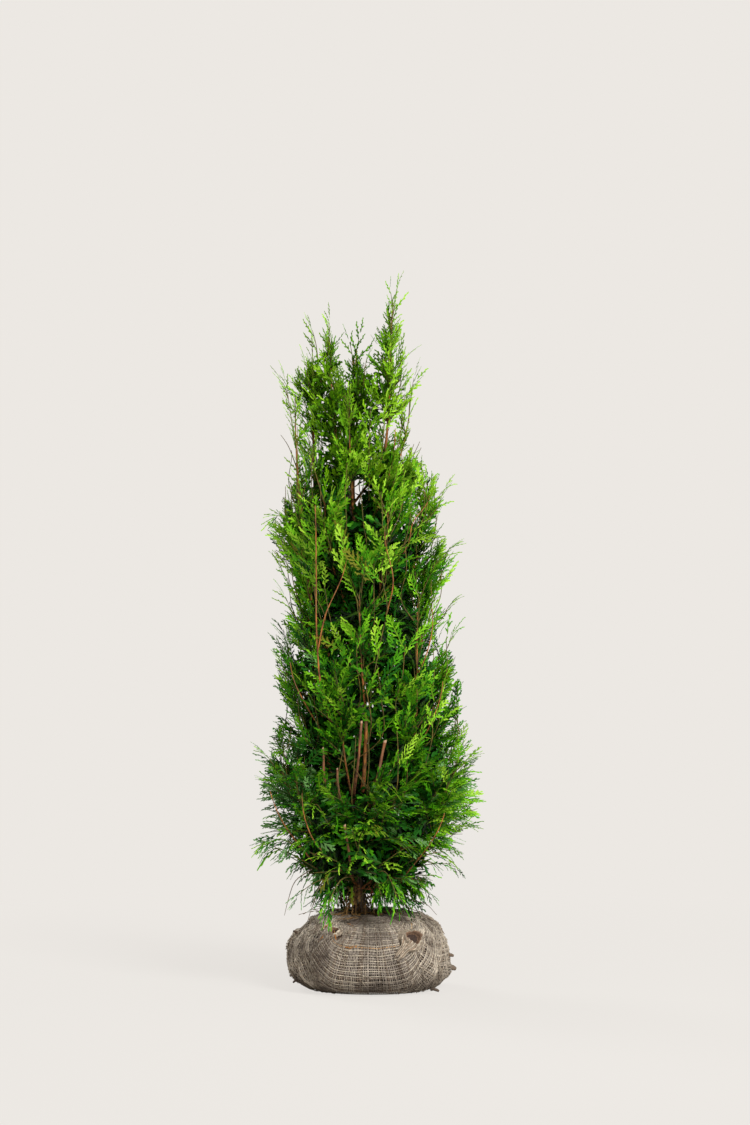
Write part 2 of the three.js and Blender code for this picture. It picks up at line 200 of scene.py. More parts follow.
# The root ball. Dark, damp field soil packed round the roots, which shows through the open weave of the
# wrap. It is a cushion shape that has sunk flat under its own weight, and stands free inside the wrap.
BALL_HALF_WIDTH = 0.147
BALL_HALF_DEPTH = 0.134
BALL_WAIST = 0.052  # height of its widest ring
BALL_SHOULDER = 0.084  # from that ring up to the dome's crest
BALL_FOOT = 0.062  # from that ring down to where the round would end, below the flat underside
BALL_TOP = 0.134  # the dome is pressed flat here, round the trunk
BALL_SQUARENESS = 3
BROAD_LUMP, FINE_LUMP = 0.014, 0.01  # how far it is out of round, as shares of its width
FOLD_TURNS = np.array([232.0, 308, 52, 128])  # where the corners of the wrap are drawn up
FOLD_HEIGHT, FOLD_WIDTH = 0.004, 13.0
# How far the ball has slumped in at its left and its right, by height, as the photograph shows it.
SLUMP = np.array([
    (0, 0.9, 0.975), (0.018, 0.935, 0.965), (0.04, 0.965, 0.97), (0.06, 0.97, 0.96), (0.08, 0.965, 0.935),
    (0.095, 0.93, 0.93), (0.104, 0.885, 0.955), (0.115, 0.865, 0.98), (0.127, 0.94, 1.03),
])
SOIL_INSET = 0.0052
SOIL_LUMP = 0.0022
SOIL_FLOOR = 0.0015  # the lowest that a lump reaches


def ball_skin(turn, rise, inset):
    """Points on the root ball's surface, or `inset` inside it, by turn in degrees and rise in radians."""
    power = 2 / BALL_SQUARENESS
    level = np.cos(rise) ** power
    off = np.abs((turn[..., None] - FOLD_TURNS + 540) % 360 - 180) / FOLD_WIDTH
    ridges = (FOLD_HEIGHT * np.exp(-off * off) * np.cos(2.4 * off)).sum(-1)
    stand = ridges * np.maximum(0, np.sin(2 * rise))
    lumps = 1 - BROAD_LUMP * np.sin(np.radians(3 * turn + 40)) + FINE_LUMP * np.sin(np.radians(5 * turn))
    half = np.where(rise > 0, BALL_SHOULDER, BALL_FOOT) - inset
    height = BALL_WAIST + half * np.sign(rise) * np.abs(np.sin(rise)) ** power
    x = ((BALL_HALF_WIDTH * lumps - inset) * level + stand) * np.cos(np.radians(turn))
    y = ((BALL_HALF_DEPTH * lumps - inset) * level + stand) * np.sin(np.radians(turn))
    left, right = (np.interp(height, SLUMP[:, 0], SLUMP[:, side]) for side in (1, 2))
    return np.stack([x * np.where(x < 0, left, right), y, np.clip(height, inset, BALL_TOP - inset)], -1)


def rough(points, grain, seed=0.0):
    """Smooth noise from -1 to 1 at each point, with lumps about `grain` across."""
    spots = (points / grain + seed).reshape(-1, 3)
    return np.array([noise.noise(Vector(spot)) for spot in spots]).reshape(points.shape[:-1])


def net(rings, sides, closed=True):
    """Triangles over a net of points, ring after ring, joined round to itself where it is closed."""
    ring, side = np.meshgrid(np.arange(rings - 1), np.arange(sides if closed else sides - 1), indexing="ij")
    here, beside = ring * sides + side, ring * sides + (side + 1) % sides
    above, across = here + sides, beside + sides
    return np.concatenate([
        np.stack([here, beside, across], -1).reshape(-1, 3),
        np.stack([here, across, above], -1).reshape(-1, 3),
    ])


def capped(skin):
    """Corners and faces of rings of points, with the first and the last ring closed."""
    rings, sides = skin.shape[:2]
    corners = np.concatenate([skin.reshape(-1, 3), [skin[0].mean(0), skin[-1].mean(0)]])
    side = np.arange(sides)
    foot = np.stack([np.full(sides, rings * sides), (side + 1) % sides, side], -1)
    crest = (rings - 1) * sides
    head = np.stack([np.full(sides, rings * sides + 1), crest + side, crest + (side + 1) % sides], -1)
    return corners, np.concatenate([net(rings, sides), foot, head])


def make_piece(name, corners, faces, finishes, slot, stands_for=(), worn=None):
    """A shaded mesh of triangles that rides on the plant. `worn` gives the finish of each face."""
    mesh = bpy.data.meshes.new(name)
    mesh.vertices.add(len(corners))
    mesh.vertices.foreach_set("co", np.asarray(corners, np.float32).ravel())
    mesh.loops.add(faces.size)
    mesh.loops.foreach_set("vertex_index", np.asarray(faces, np.int32).ravel())
    mesh.polygons.add(len(faces))
    mesh.polygons.foreach_set("loop_start", np.arange(0, faces.size, 3, dtype=np.int32))
    for finish in finishes:
        mesh.materials.append(finish)
    if worn is not None:
        mesh.polygons.foreach_set("material_index", np.asarray(worn, np.int32))
    mesh.polygons.foreach_set("use_smooth", np.ones(len(faces), bool))
    mesh.update(calc_edges=True)
    piece = bpy.data.objects.new(name, mesh)
    bpy.context.scene.collection.objects.link(piece)
    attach(piece, "root")
    if stands_for:
        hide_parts(*stands_for)


def soil_finish():
    soil = Finish("damp_soil")
    place = soil.place()
    clods = soil.grain(place, 55, 6)
    grit = soil.node("ShaderNodeTexVoronoi", {}, {"Vector": place, "Scale": 420})
    tone = soil.mixed(((clods - 0.35) * 3).held(), colour(28, 20, 15), colour(74, 55, 40))
    return soil.shaded(tone, 0.85 + clods * 0.15, clods * 0.7 + grit * 0.3, 0.9, 0.002)


def root_ball():
    rings, sides = 72, 144
    rise = np.radians(np.linspace(-89.9, 89.9, rings))[:, None] * np.ones(sides)
    turn = np.linspace(0, 360, sides, endpoint=False) * np.ones((rings, 1))
    skin = ball_skin(turn, rise, SOIL_INSET)
    clods = rough(skin, 0.012) + 0.6 * rough(skin, 0.005, 7)
    skin = skin * (1 - clods[..., None] * SOIL_LUMP / 0.14)
    skin[..., 2] = np.clip(skin[..., 2], SOIL_FLOOR, None)
    make_piece("root_ball_soil", *capped(skin), [soil_finish()], "soil", ["root_ball"])


root_ball()


# The wrap. A square of open jute hessian, drawn up round the ball and gathered at its four corners, so
# that each thread runs in a wide smile between two gathers. Every thread is woven over and under.
GREY, CREAM, TAN, BROWN, CRUMPLED, HOLLOW_SOIL_AND_SHADE, CUT_ROOT, FOLDED = range(8)  # the kinds of jute, in their order
HESSIAN_INSET = 0.002
CLOTH_HALF = 0.352
CLOTH_SQUARENESS = 4.0  # how squarely the cloth's threads follow the ball, between round, 2, and more
THREAD_GAP = 0.0046
THREAD_HALF_WIDTH = 0.0011
THREAD_CROWN = 0.0005
# Threads spread to this share of their width in the smooth panel, and by this much more where it is slack.
SMOOTH_SPREAD, SLACK_SPREAD = 0.88, 0.76
WEAVE = 0.0004
WRAP_OPENING = 0.03  # radius of the gap that the wrap leaves round the trunk
TRUNK_FOOT = (-0.014, 0.0, 0.132)
# Where the slack cloth stands out or lies in, as turn, height, radius and how far out.
SWELLS = [
    (318, 0.066, 0.02, 0.004), (326, 0.104, 0.016, 0.005), (344, 0.07, 0.02, 0.004),
    (300, 0.094, 0.012, -0.003), (226, 0.078, 0.018, 0.003), (242, 0.108, 0.014, -0.004),
    (60, 0.07, 0.018, 0.004), (120, 0.072, 0.018, 0.003),
]
# Creases of slack cloth, from where to where as turn and height, and how far each stands out.
CREASES = [
    ((318, 0.055), (313, 0.122), 0.005), ((329, 0.054), (322, 0.124), 0.0055),
    ((342, 0.054), (334, 0.12), 0.005), ((356, 0.054), (350, 0.11), 0.004),
    ((224, 0.056), (242, 0.122), 0.0045), ((208, 0.054), (220, 0.116), 0.004),
    ((250, 0.118), (290, 0.124), 0.002), ((150, 0.056), (160, 0.118), 0.004),
    ((98, 0.056), (108, 0.12), 0.004), ((30, 0.056), (22, 0.118), 0.0045),
]
CREASE_HALF_WIDTH = 0.0052
# Folds and ripples of the cloth, as how far they stand out and how wide they are.
BROAD_FOLD, FINE_FOLD, LOOSE_LIFT = (0.0075, 0.02), (0.0042, 0.0095), 0.0016  # where it lies loose
SWELL, RIPPLE = (0.0018, 0.024), (0.001, 0.009)  # all over
THREAD_STRAY = 0.0005  # how far a thread lies off its even place
CLOTH_PULL, PULL_WIDTH = 0.0022, 0.05  # how far the weave is pulled out of square, over what width
PANEL_MIDDLE, PANEL_HALF = 272.0, 34.0  # the smooth panel between the two front gathers, as turns
PANEL_EDGE = 14  # the turn over which it passes into the crumpled sides
CREAM_EVERY = 2  # each second weft thread is the paler kind
CREAM_WIDTH = 0.72  # its width as a share of the usual
TAN_HEIGHT = 0.087  # where one weft thread is orange-brown
# The gathers, where the corners of the cloth are twisted and tucked in: turn, height and size.
GATHERS = [(304, 0.1, 1.0), (238, 0.112, 0.5), (52, 0.098, 0.6), (128, 0.098, 0.55)]
# A gather's section from the cloth round it over its lip to its dark middle, as radius and height out.
GATHER_PROFILE = np.array([
    (0.0215, -0.002), (0.0185, 0.002), (0.016, 0.006), (0.0144, 0.0095), (0.013, 0.011), (0.0114, 0.0098),
    (0.0102, 0.0055), (0.0088, 0.0018), (0.0006, 0.0004),
])
GATHER_HOLLOW = 0.0125
GATHER_PULL, GATHER_PULL_REACH = 0.3, 0.026  # how far the cloth is drawn in to it, and from how far off
GATHER_SIDES = 48
FLAP_LENGTH, FLAP_WIDTH, FLAP_ROWS, FLAP_COLUMNS = 0.036, 0.03, 20, 24
FLAP_START = 0.007  # off the gather's middle
FLAP_LEFTWARD, FLAP_DOWNWARD = 0.72, 0.69  # the way it lies
FLAP_TINTS = [CRUMPLED, CREAM, BROWN, CRUMPLED, FOLDED, CREAM, CRUMPLED, BROWN]  # its streaks, side by side
SKIN_CURVE = 0.2  # twice the radius on which the skin bends away under a gather and the flap
FIBRES = 3600
FIBRE_LENGTHS, FIBRE_RADII = (0.006, 0.022), (0.00026, 0.0007)
FIBRE_RISES = (-42, 70)  # from how far below the waist to how far above it they grow, in degrees
FIBRE_CLEARANCE = 0.022  # from the middle of a gather
# Stubs of cut roots that stick out of the weave: turn, height, length and thickness.
STUBS = [
    (354, 0.06, 0.011, 0.0062), (357, 0.038, 0.014, 0.0092), (322, 0.009, 0.01, 0.0052),
    (190, 0.098, 0.010, 0.0044), (205, 0.02, 0.006, 0.0036), (75, 0.04, 0.009, 0.0048),
]


def cloth_places(u, v):
    """Where points of the flat cloth lie on the ball, as turn and rise, and how far up they have come."""
    rises = np.radians(np.linspace(-90, 90, 721))
    power = 2 / BALL_SQUARENESS
    width = (BALL_HALF_WIDTH + BALL_HALF_DEPTH) / 2 * np.cos(rises) ** power
    half = np.where(rises > 0, BALL_SHOULDER, BALL_FOOT)
    height = BALL_WAIST + half * np.sign(rises) * np.abs(np.sin(rises)) ** power
    steps = np.hypot(np.diff(width), np.diff(np.clip(height, 0, BALL_TOP)))
    run = np.concatenate([[0], np.cumsum(steps)])
    far = (np.abs(u) ** CLOTH_SQUARENESS + np.abs(v) ** CLOTH_SQUARENESS) ** (1 / CLOTH_SQUARENESS)
    around = np.degrees(np.arctan2(v, u)) % 360
    corners = [-45, 45, 135, 225, 315, 405]
    left, right, back_right, back_left = FOLD_TURNS
    turn = np.interp(around, corners, [right - 360, back_right, back_left, left, right, back_right + 360])
    return turn % 360, np.interp(far, run, rises), far < run[-1]


def spot(turn, height):
    """A point on the skin at a turn and a height above the waist."""
    share = np.clip((height - BALL_WAIST) / BALL_SHOULDER, 0, 1) ** (BALL_SQUARENESS / 2)
    return ball_skin(np.array(float(turn)), np.arcsin(share), HESSIAN_INSET)


def slack(points, outward):
    """Lifts the slack cloth, and draws it in to the gathers."""
    for turn, height, radius, out in SWELLS:
        away = np.linalg.norm(points - spot(turn, height), axis=-1, keepdims=True)
        points = points + outward * out * np.exp(-(away / radius) ** 2)
    for start, end, out in CREASES:
        along = np.array([spot(turn, height) for turn, height in np.linspace(start, end, 14)])
        away = np.linalg.norm(points[..., None, :] - along, axis=-1).min(-1)[..., None]
        points = points + outward * out * (1.5 * np.exp(-(away / CREASE_HALF_WIDTH) ** 2)
                                           - 0.5 * np.exp(-(away / CREASE_HALF_WIDTH / 2) ** 2))
    for turn, height, size in GATHERS:
        middle = spot(turn, height)
        away = np.linalg.norm(points - middle, axis=-1, keepdims=True)
        points = points + (middle - points) * GATHER_PULL * np.exp(-(away / (GATHER_PULL_REACH * size)) ** 2)
    return points


def crumpled(turn):
    """How loosely the cloth lies at each turn: 0 in the smooth panel at the front, 1 at the sides."""
    off = np.abs((turn - PANEL_MIDDLE + 540) % 360 - 180)
    return np.clip((off - PANEL_HALF) / PANEL_EDGE, 0, 1)


def cloth_net():
    """The crossings of the threads, with the way out of the cloth at each and whether it is there."""
    draw = np.random.default_rng(11)
    count = int(2 * CLOTH_HALF / THREAD_GAP)
    flat = np.linspace(-CLOTH_HALF, CLOTH_HALF, count)
    u = (flat + draw.normal(0, THREAD_STRAY, count))[:, None] * np.ones(count)
    v = (flat + draw.normal(0, THREAD_STRAY, count)) * np.ones((count, 1))
    places = np.stack([u, v, np.zeros_like(u)], -1)
    u, v = (w + CLOTH_PULL * rough(places, PULL_WIDTH, seed) for w, seed in ((u, 3), (v, 9)))
    turn, rise, there = cloth_places(u, v)
    points = ball_skin(turn, rise, HESSIAN_INSET)
    out = np.cross(np.gradient(points, axis=0), np.gradient(points, axis=1))
    out *= np.sign(np.sum(out * (points - [0, 0, BALL_WAIST]), -1, keepdims=True))
    out /= np.maximum(np.linalg.norm(out, axis=-1, keepdims=True), 1e-9)
    above = np.clip(points[..., 2:] / 0.02 - 0.2, 0, 1)
    loose = crumpled(turn)
    upright = points * [1, 1, 0.4]
    folds = loose * (BROAD_FOLD[0] * rough(upright, BROAD_FOLD[1], 5)
                     + FINE_FOLD[0] * rough(points, FINE_FOLD[1], 8) + LOOSE_LIFT)
    folds = folds + SWELL[0] * rough(points, SWELL[1], 5) + RIPPLE[0] * rough(points, RIPPLE[1], 8)
    points = slack(points + out * above * folds[..., None], out * above)
    for turn, height, size in GATHERS:
        there &= np.linalg.norm(points - spot(turn, height), axis=-1) > GATHER_HOLLOW * size
    clear = np.hypot(points[..., 0] - TRUNK_FOOT[0], points[..., 1]) > WRAP_OPENING
    return points, out, there & (clear | (points[..., 2] < BALL_WAIST)), loose


def threads(points, out, there, over, tints, half_width):
    """Ribbons with a raised middle along each row of points, and the tint of each of their faces."""
    ahead = np.gradient(points, axis=1)
    aside = np.cross(out, ahead)
    aside *= half_width[..., None] / np.maximum(np.linalg.norm(aside, axis=-1, keepdims=True), 1e-9)
    middle = points + out * (over * WEAVE)[..., None]
    corners = np.stack([middle - aside, middle + out * THREAD_CROWN, middle + aside], 2)
    whole = there[:, :-1] & there[:, 1:]
    whole &= np.linalg.norm(np.diff(points, axis=1), axis=-1) < 4 * THREAD_GAP
    row, stop = np.nonzero(whole)
    first = (row * there.shape[1] + stop)[:, None] * 3
    faces = np.concatenate([(first + side + [0, 3, 4, 0, 4, 1]).reshape(-1, 3) for side in (0, 1)])
    return corners.reshape(-1, 3), faces, np.tile(np.repeat(tints[row], 2), 2)


def trimmed(corners, faces):
    """The same mesh without the corners that no face uses."""
    used, again = np.unique(faces, return_inverse=True)
    return corners[used], again.reshape(faces.shape)


SOIL_STAIN_AND_SHADE, BLEACHED = colour(62, 47, 37), colour(214, 199, 178)
SOILED_AND_SHADED_BELOW, LITTERED_ABOVE = 0.032, 0.118  # heights at which soil stains the cloth; below the first it is also darkened as painted contact shadow
DRY_LEFT, DRY_RIGHT = -0.1, 0.055  # where its two ends start to bleach
STREAK_SHADE, STAIN_AND_SHADE_STRENGTH = 0.38, 0.72


def jute_finish(name, clean, stained_and_shaded=SOIL_STAIN_AND_SHADE):
    jute = Finish(name)
    place = jute.place()
    aside, height = (jute.node("ShaderNodeSeparateXYZ", {}, {"Vector": place}, axis) for axis in "XZ")
    stain = jute.grain(place, 16, 5, 0.62)
    fibre = jute.grain(place, 260, 3)
    # Darker at the foot, soil stain together with painted contact shadow, and soil from the litter at the
    # top.
    dirt_and_shade = ((SOILED_AND_SHADED_BELOW - height) * 34).held() + ((height - LITTERED_ABOVE) * 40).held()
    damp = ((stain - 0.48) * 4.5 + dirt_and_shade).held()
    dry = ((aside - DRY_RIGHT) * 9).held() * 0.32 + ((DRY_LEFT - aside) * 12).held() * 0.2
    streak = jute.mixed(((fibre - 0.3) * 2.2).held(), [STREAK_SHADE * c for c in clean], clean)
    tone = jute.mixed(dry * stain, jute.mixed(damp * STAIN_AND_SHADE_STRENGTH, streak, stained_and_shaded), BLEACHED)
    return jute.shaded(tone, 0.82 + fibre * 0.15, fibre, 0.7, 0.0008)


def tubes(centres, radii, sides):
    """Tapering tubes along rows of points, all with the same number of points."""
    ahead = np.gradient(centres, axis=1)
    ahead /= np.linalg.norm(ahead, axis=-1, keepdims=True)
    aside = np.cross(ahead, [0.31, 0.23, 0.92])
    aside /= np.linalg.norm(aside, axis=-1, keepdims=True)
    front = np.cross(ahead, aside)
    around = np.linspace(0, 2 * np.pi, sides, endpoint=False)
    spoke = aside[:, :, None] * np.cos(around)[:, None] + front[:, :, None] * np.sin(around)[:, None]
    corners = centres[:, :, None] + spoke * radii[..., None, None]
    rows, stops = centres.shape[:2]
    one = net(stops, sides)
    faces = one + (np.arange(rows) * stops * sides)[:, None, None]
    return corners.reshape(-1, 3), faces.reshape(-1, 3)


def joined(parts):
    """Several meshes as one."""
    starts = np.cumsum([0] + [len(corners) for corners, _ in parts[:-1]])
    faces = np.concatenate([faces + start for start, (_, faces) in zip(starts, parts)])
    return np.concatenate([corners for corners, _ in parts]), faces


def wrap():
    points, out, there, loose = cloth_net()
    draw = np.random.default_rng(12)
    count = len(points)
    over = np.where(np.add.outer(np.arange(count), np.arange(count)) % 2, 1.0, -1.0)
    spread = SMOOTH_SPREAD + SLACK_SPREAD * loose  # the weave closes up where the cloth is slack
    thickness = THREAD_HALF_WIDTH * draw.uniform(0.7, 1.1, count)[:, None] * spread
    warp_tints = draw.choice([GREY, BROWN], count, p=[0.8, 0.2])
    corners, faces, worn = threads(points, out, there, over, warp_tints, thickness * 0.85)
    make_piece("hessian_warp", *trimmed(corners, faces), jute, "hessian", ["hessian_wrap"], worn)
    is_cream = np.arange(count) % CREAM_EVERY == 0
    weft_tints = np.where(is_cream, CREAM, draw.choice([GREY, BROWN], count, p=[0.8, 0.2]))
    front = points[count // 2, : count // 2, 2]
    weft_tints[np.argmin(np.abs(front - TAN_HEIGHT))] = TAN
    sideways = [array.swapaxes(0, 1) for array in (points, out, there)]
    lying = np.where(is_cream[:, None], 1.0, -over.T)  # the cream threads float on top
    width = np.where(is_cream, CREAM_WIDTH, draw.uniform(0.8, 1.15, count))
    thickness = THREAD_HALF_WIDTH * width[:, None] * spread.T
    corners, faces, worn = threads(*sideways, lying, weft_tints, thickness)
    make_piece("hessian_weft", *trimmed(corners, faces), jute, "hessian", ["hessian_wrap"], worn)


def beside(turn, height):
    """A frame on the skin: a point, the way out of it, along it and up it."""
    here = spot(turn, height)
    along = spot(turn + 2, height) - here
    up = spot(turn, height + 0.002) - here
    out = np.cross(along, up)
    along, up, out = (v / np.linalg.norm(v) for v in (along, up, out))
    return here, out, along, np.cross(out, along)


def gathers():
    """Twisted corners of the cloth, each a pleated collar round a dark hollow, and a flap by the first."""
    around = np.linspace(0, 2 * np.pi, GATHER_SIDES, endpoint=False)
    meshes, worn = [], []
    for seed, (turn, height, size) in enumerate(GATHERS):
        here, out, along, up = beside(turn, height)
        radius, lift = GATHER_PROFILE[:, :1] * size, GATHER_PROFILE[:, 1:] * size
        pleats = np.sin(11 * around + 2 * seed) * 0.05 + np.sin(3 * around + seed) * 0.05
        radius = radius * (1 + pleats * np.linspace(1.4, 0.5, len(radius))[:, None])
        lift = lift * (1 + 0.35 * np.sin(2 * around + 1.2 + seed) + 0.12 * np.sin(7 * around))
        lift = lift - radius**2 / SKIN_CURVE
        level, upward = radius * np.cos(around) * 1.15, radius * np.sin(around)
        skin = here + along * level[..., None] + up * upward[..., None]
        skin = skin + out * lift[..., None]
        faces = net(len(radius), GATHER_SIDES)
        meshes.append((skin.reshape(-1, 3), faces))
        ring, side = faces.min(1) // GATHER_SIDES, faces.min(1) % GATHER_SIDES
        # The lip's lower right is coloured cream, a painted highlight.
        painted_highlight_lip = (ring > 1) & (ring < 4) & (side > 0.7 * GATHER_SIDES)
        # The middle rings are painted dark: the soil in the hollow and painted shade for its depth.
        worn.append(np.select([ring > 6, ring > 3, painted_highlight_lip], [HOLLOW_SOIL_AND_SHADE, FOLDED, CREAM], CRUMPLED))
    here, out, along, up = beside(*GATHERS[0][:2])
    share = np.linspace(0, 1, FLAP_ROWS)[:, None] * np.ones(FLAP_COLUMNS)
    aside = np.linspace(-1, 1, FLAP_COLUMNS) * np.ones((FLAP_ROWS, 1))
    down = -FLAP_LEFTWARD * along - FLAP_DOWNWARD * up
    across = np.cross(out, down)
    reach = FLAP_START + FLAP_LENGTH * share
    reach = reach * (1 - 0.16 * np.sin(5 * aside + 1) * share)
    half = FLAP_WIDTH / 2 * (1.1 - 0.75 * share) * (1 + 0.16 * np.sin(9 * share))
    lift = 0.0096 - 0.0042 * share + 0.0024 * aside**2 * share - (reach**2 + (half * aside) ** 2) / SKIN_CURVE
    flap = here + down * reach[..., None] + across * (half * aside)[..., None] + out * lift[..., None]
    flap = flap + out * (0.0024 * rough(flap, 0.006, 3) + 0.0014 * np.sin(13 * aside + 3 * share))[..., None]
    faces = net(FLAP_ROWS, FLAP_COLUMNS, closed=False)
    meshes.append((flap.reshape(-1, 3), faces))
    worn.append(np.array(FLAP_TINTS)[faces.min(1) % FLAP_COLUMNS % len(FLAP_TINTS)])
    make_piece("hessian_gathers", *joined(meshes), jute, "hessian", ["hessian_wrap"], np.concatenate(worn))


def fibres():
    """Loose jute hairs and frayed ends, most of them where the cloth is crumpled."""
    draw = np.random.default_rng(13)
    turn = draw.uniform(0, 360, 3 * FIBRES)
    turn = turn[crumpled(turn) + 0.16 > draw.random(len(turn))][:FIBRES]
    rise = np.radians(draw.uniform(*FIBRE_RISES, len(turn)))
    root = ball_skin(turn, rise, HESSIAN_INSET)
    clear = np.ones(len(turn), bool)
    for at, height, size in GATHERS:
        clear &= np.linalg.norm(root - spot(at, height), axis=-1) > FIBRE_CLEARANCE * size
    turn, rise, root = turn[clear], rise[clear], root[clear]
    ahead = ball_skin(turn + 1, rise, HESSIAN_INSET) - root
    above = ball_skin(turn, rise + 0.01, HESSIAN_INSET) - root
    out = np.cross(ahead, above)
    ahead, above, out = (v / np.linalg.norm(v, axis=-1, keepdims=True) for v in (ahead, above, out))
    lean = draw.uniform(0, np.pi, len(turn))[:, None]
    way = ahead * np.cos(lean) + above * np.sin(lean) * 1.6
    share = np.linspace(-0.5, 0.5, 4)[:, None]
    length, bow = draw.uniform(*FIBRE_LENGTHS, (len(turn), 1, 1)), draw.normal(0, 0.3, (len(turn), 1, 1))
    bent = np.cross(out, way)[:, None] * share**2 * length * bow
    curve = root[:, None] + way[:, None] * share * length + bent
    lift = draw.uniform(0.0012, 0.0034, (len(turn), 1, 1)) - share**2 * length**2 / 0.12
    curve = curve + out[:, None] * lift
    curve[..., 2] = np.maximum(curve[..., 2], 0.0016)
    corners, faces = tubes(curve, draw.uniform(*FIBRE_RADII, (len(turn), 1)) * np.ones(4), 3)
    tints = draw.choice([GREY, CREAM, BROWN, CRUMPLED], len(turn), p=[0.3, 0.25, 0.25, 0.2])
    worn = np.repeat(tints, len(faces) // len(turn))
    make_piece("hessian_fibres", corners, faces, jute, "hessian", ["hessian_wrap"], worn)


def stubs():
    """Cut roots that poke out through the weave."""
    lines, thick = [], []
    for turn, height, length, thickness in STUBS:
        here, out, along, up = beside(turn, max(height, BALL_WAIST))
        here[2] = height
        share = np.linspace(-0.5, 1, 6)[:, None]
        line = here + out * share * length + (along * 0.3 - up * 0.35) * share**2 * length
        line[:, 2] = np.maximum(line[:, 2], thickness / 2 + 0.001)
        lines.append(line)
        thick.append(thickness / 2 * np.array([1, 1, 0.9, 1.05, 1, 0.7]))
    meshes = tubes(np.array(lines), np.array(thick), 9)
    make_piece("root_stubs", *meshes, [jute[CUT_ROOT]], "soil", ["root_ball"])


jute = [
    jute_finish("grey_jute", colour(190, 176, 160)),
    jute_finish("cream_jute", colour(232, 217, 192)),
    jute_finish("tan_jute", colour(222, 176, 122)),
    jute_finish("brown_jute", colour(156, 137, 118)),
    jute_finish("crumpled_jute", colour(190, 172, 150)),
    # The gathers' middles: soil colour darkened with painted shade.
    jute_finish("hollow_soil_and_shade_jute", colour(70, 47, 35), colour(38, 27, 21)),
    jute_finish("cut_root", colour(98, 72, 52), colour(50, 36, 28)),
    jute_finish("folded_jute", colour(142, 108, 82), colour(80, 56, 42)),
]
wrap()
gathers()
fibres()
stubs()


# The trunk. One stem of stringy grey-brown bark from the ball to the base of the middle leaders. It
# flares at its foot, leans left off the ball and then straightens.
TRUNK_RADIUS, TRUNK_TIP_RADIUS = 0.0094, 0.0024
FLARE, FLARE_HEIGHT = 0.0045, 0.026
TRUNK_POINTS = [
    TRUNK_FOOT, (-0.019, -0.003, 0.18), (-0.025, -0.003, 0.225), (-0.022, 0.002, 0.32), (-0.014, 0.005, 0.48),
    (-0.012, 0.004, 0.65), (-0.024, 0.002, 0.8), (-0.042, 0, 0.9), (-0.056, 0, 0.96),
]
BARK_RELIEF = 0.0011
BARK_STRETCH = 0.12  # its pattern is drawn out along the limb


class Line:
    """A smooth line through points, the same centripetal curve that the solids' limbs follow."""

    def __init__(self, points):
        known = np.array(points, float)
        self.known = np.vstack([2 * known[0] - known[1], known, 2 * known[-1] - known[-2]])

    def at(self, share):
        place = np.clip(share, 0, 1) * (len(self.known) - 3)
        part = np.minimum(np.floor(place).astype(int), len(self.known) - 4)
        t = (place - part)[..., None]
        a, b, c, d = (self.known[part + k] for k in range(4))
        gaps = [np.sqrt(np.linalg.norm(q - p, axis=-1, keepdims=True)) for p, q in ((a, b), (b, c), (c, d))]
        first = ((b - a) / gaps[0] - (c - a) / (gaps[0] + gaps[1]) + (c - b) / gaps[1]) * gaps[1]
        last = ((c - b) / gaps[1] - (d - b) / (gaps[1] + gaps[2]) + (d - c) / gaps[2]) * gaps[1]
        return b + t * first + t**2 * (3 * (c - b) - 2 * first - last) + t**3 * (2 * (b - c) + first + last)

    def heading(self, share):
        step = self.at(np.minimum(share + 1e-4, 1)) - self.at(np.maximum(share - 1e-4, 0))
        return step / np.linalg.norm(step, axis=-1, keepdims=True)

    def length(self, stops):
        return np.linalg.norm(np.diff(self.at(np.linspace(0, 1, stops)), axis=0), axis=1).sum()


def limb_skin(line, radius_at, rings, sides):
    """A net of points round a limb. `radius_at` takes shares of its length and turns round it."""
    share = np.linspace(0, 1, rings)[:, None] * np.ones(sides)
    around = np.linspace(0, 2 * np.pi, sides, endpoint=False) * np.ones((rings, 1))
    along = line.heading(share)
    aside = np.array([1.0, 0, 0]) - along * along[..., :1]
    aside /= np.linalg.norm(aside, axis=-1, keepdims=True)
    front = np.cross(along, aside)
    spoke = aside * np.cos(around)[..., None] + front * np.sin(around)[..., None]
    return line.at(share) + spoke * radius_at(share, around)[..., None]


def bark_relief(share, around, length, girth, seed):
    """Long, broken ridges that run up a limb, from -1 in a furrow to 1 on a strip of bark."""
    spots = np.stack([np.cos(around) * girth, np.sin(around) * girth, share * length * BARK_STRETCH], -1)
    broad, fine = rough(spots, 0.0042, seed), rough(spots, 0.0018, seed + 4)
    return np.clip(1.6 * broad + 0.8 * fine, -1, 1)


def bark_finish(name, furrow, strip, weathered):
    """Bark or wood, from its furrows, its strips and its weathered patches as a paint chart gives them."""
    bark = Finish(name)
    place = bark.place()
    drawn = bark.node("ShaderNodeMapping", {}, {"Vector": place, "Scale": (1, 1, BARK_STRETCH)})
    strips, patch = bark.grain(drawn, 330, 5), bark.grain(place, 38, 3)
    wood = bark.mixed(((strips - 0.36) * 3.4).held(), colour(*furrow), colour(*strip))
    tone = bark.mixed(((patch - 0.5) * 5).held() * 0.7, wood, colour(*weathered))
    return bark.shaded(tone, 0.7 + strips * 0.25, strips, 0.8, 0.0012)


trunk_line = Line(TRUNK_POINTS)
trunk_length = trunk_line.length(201)


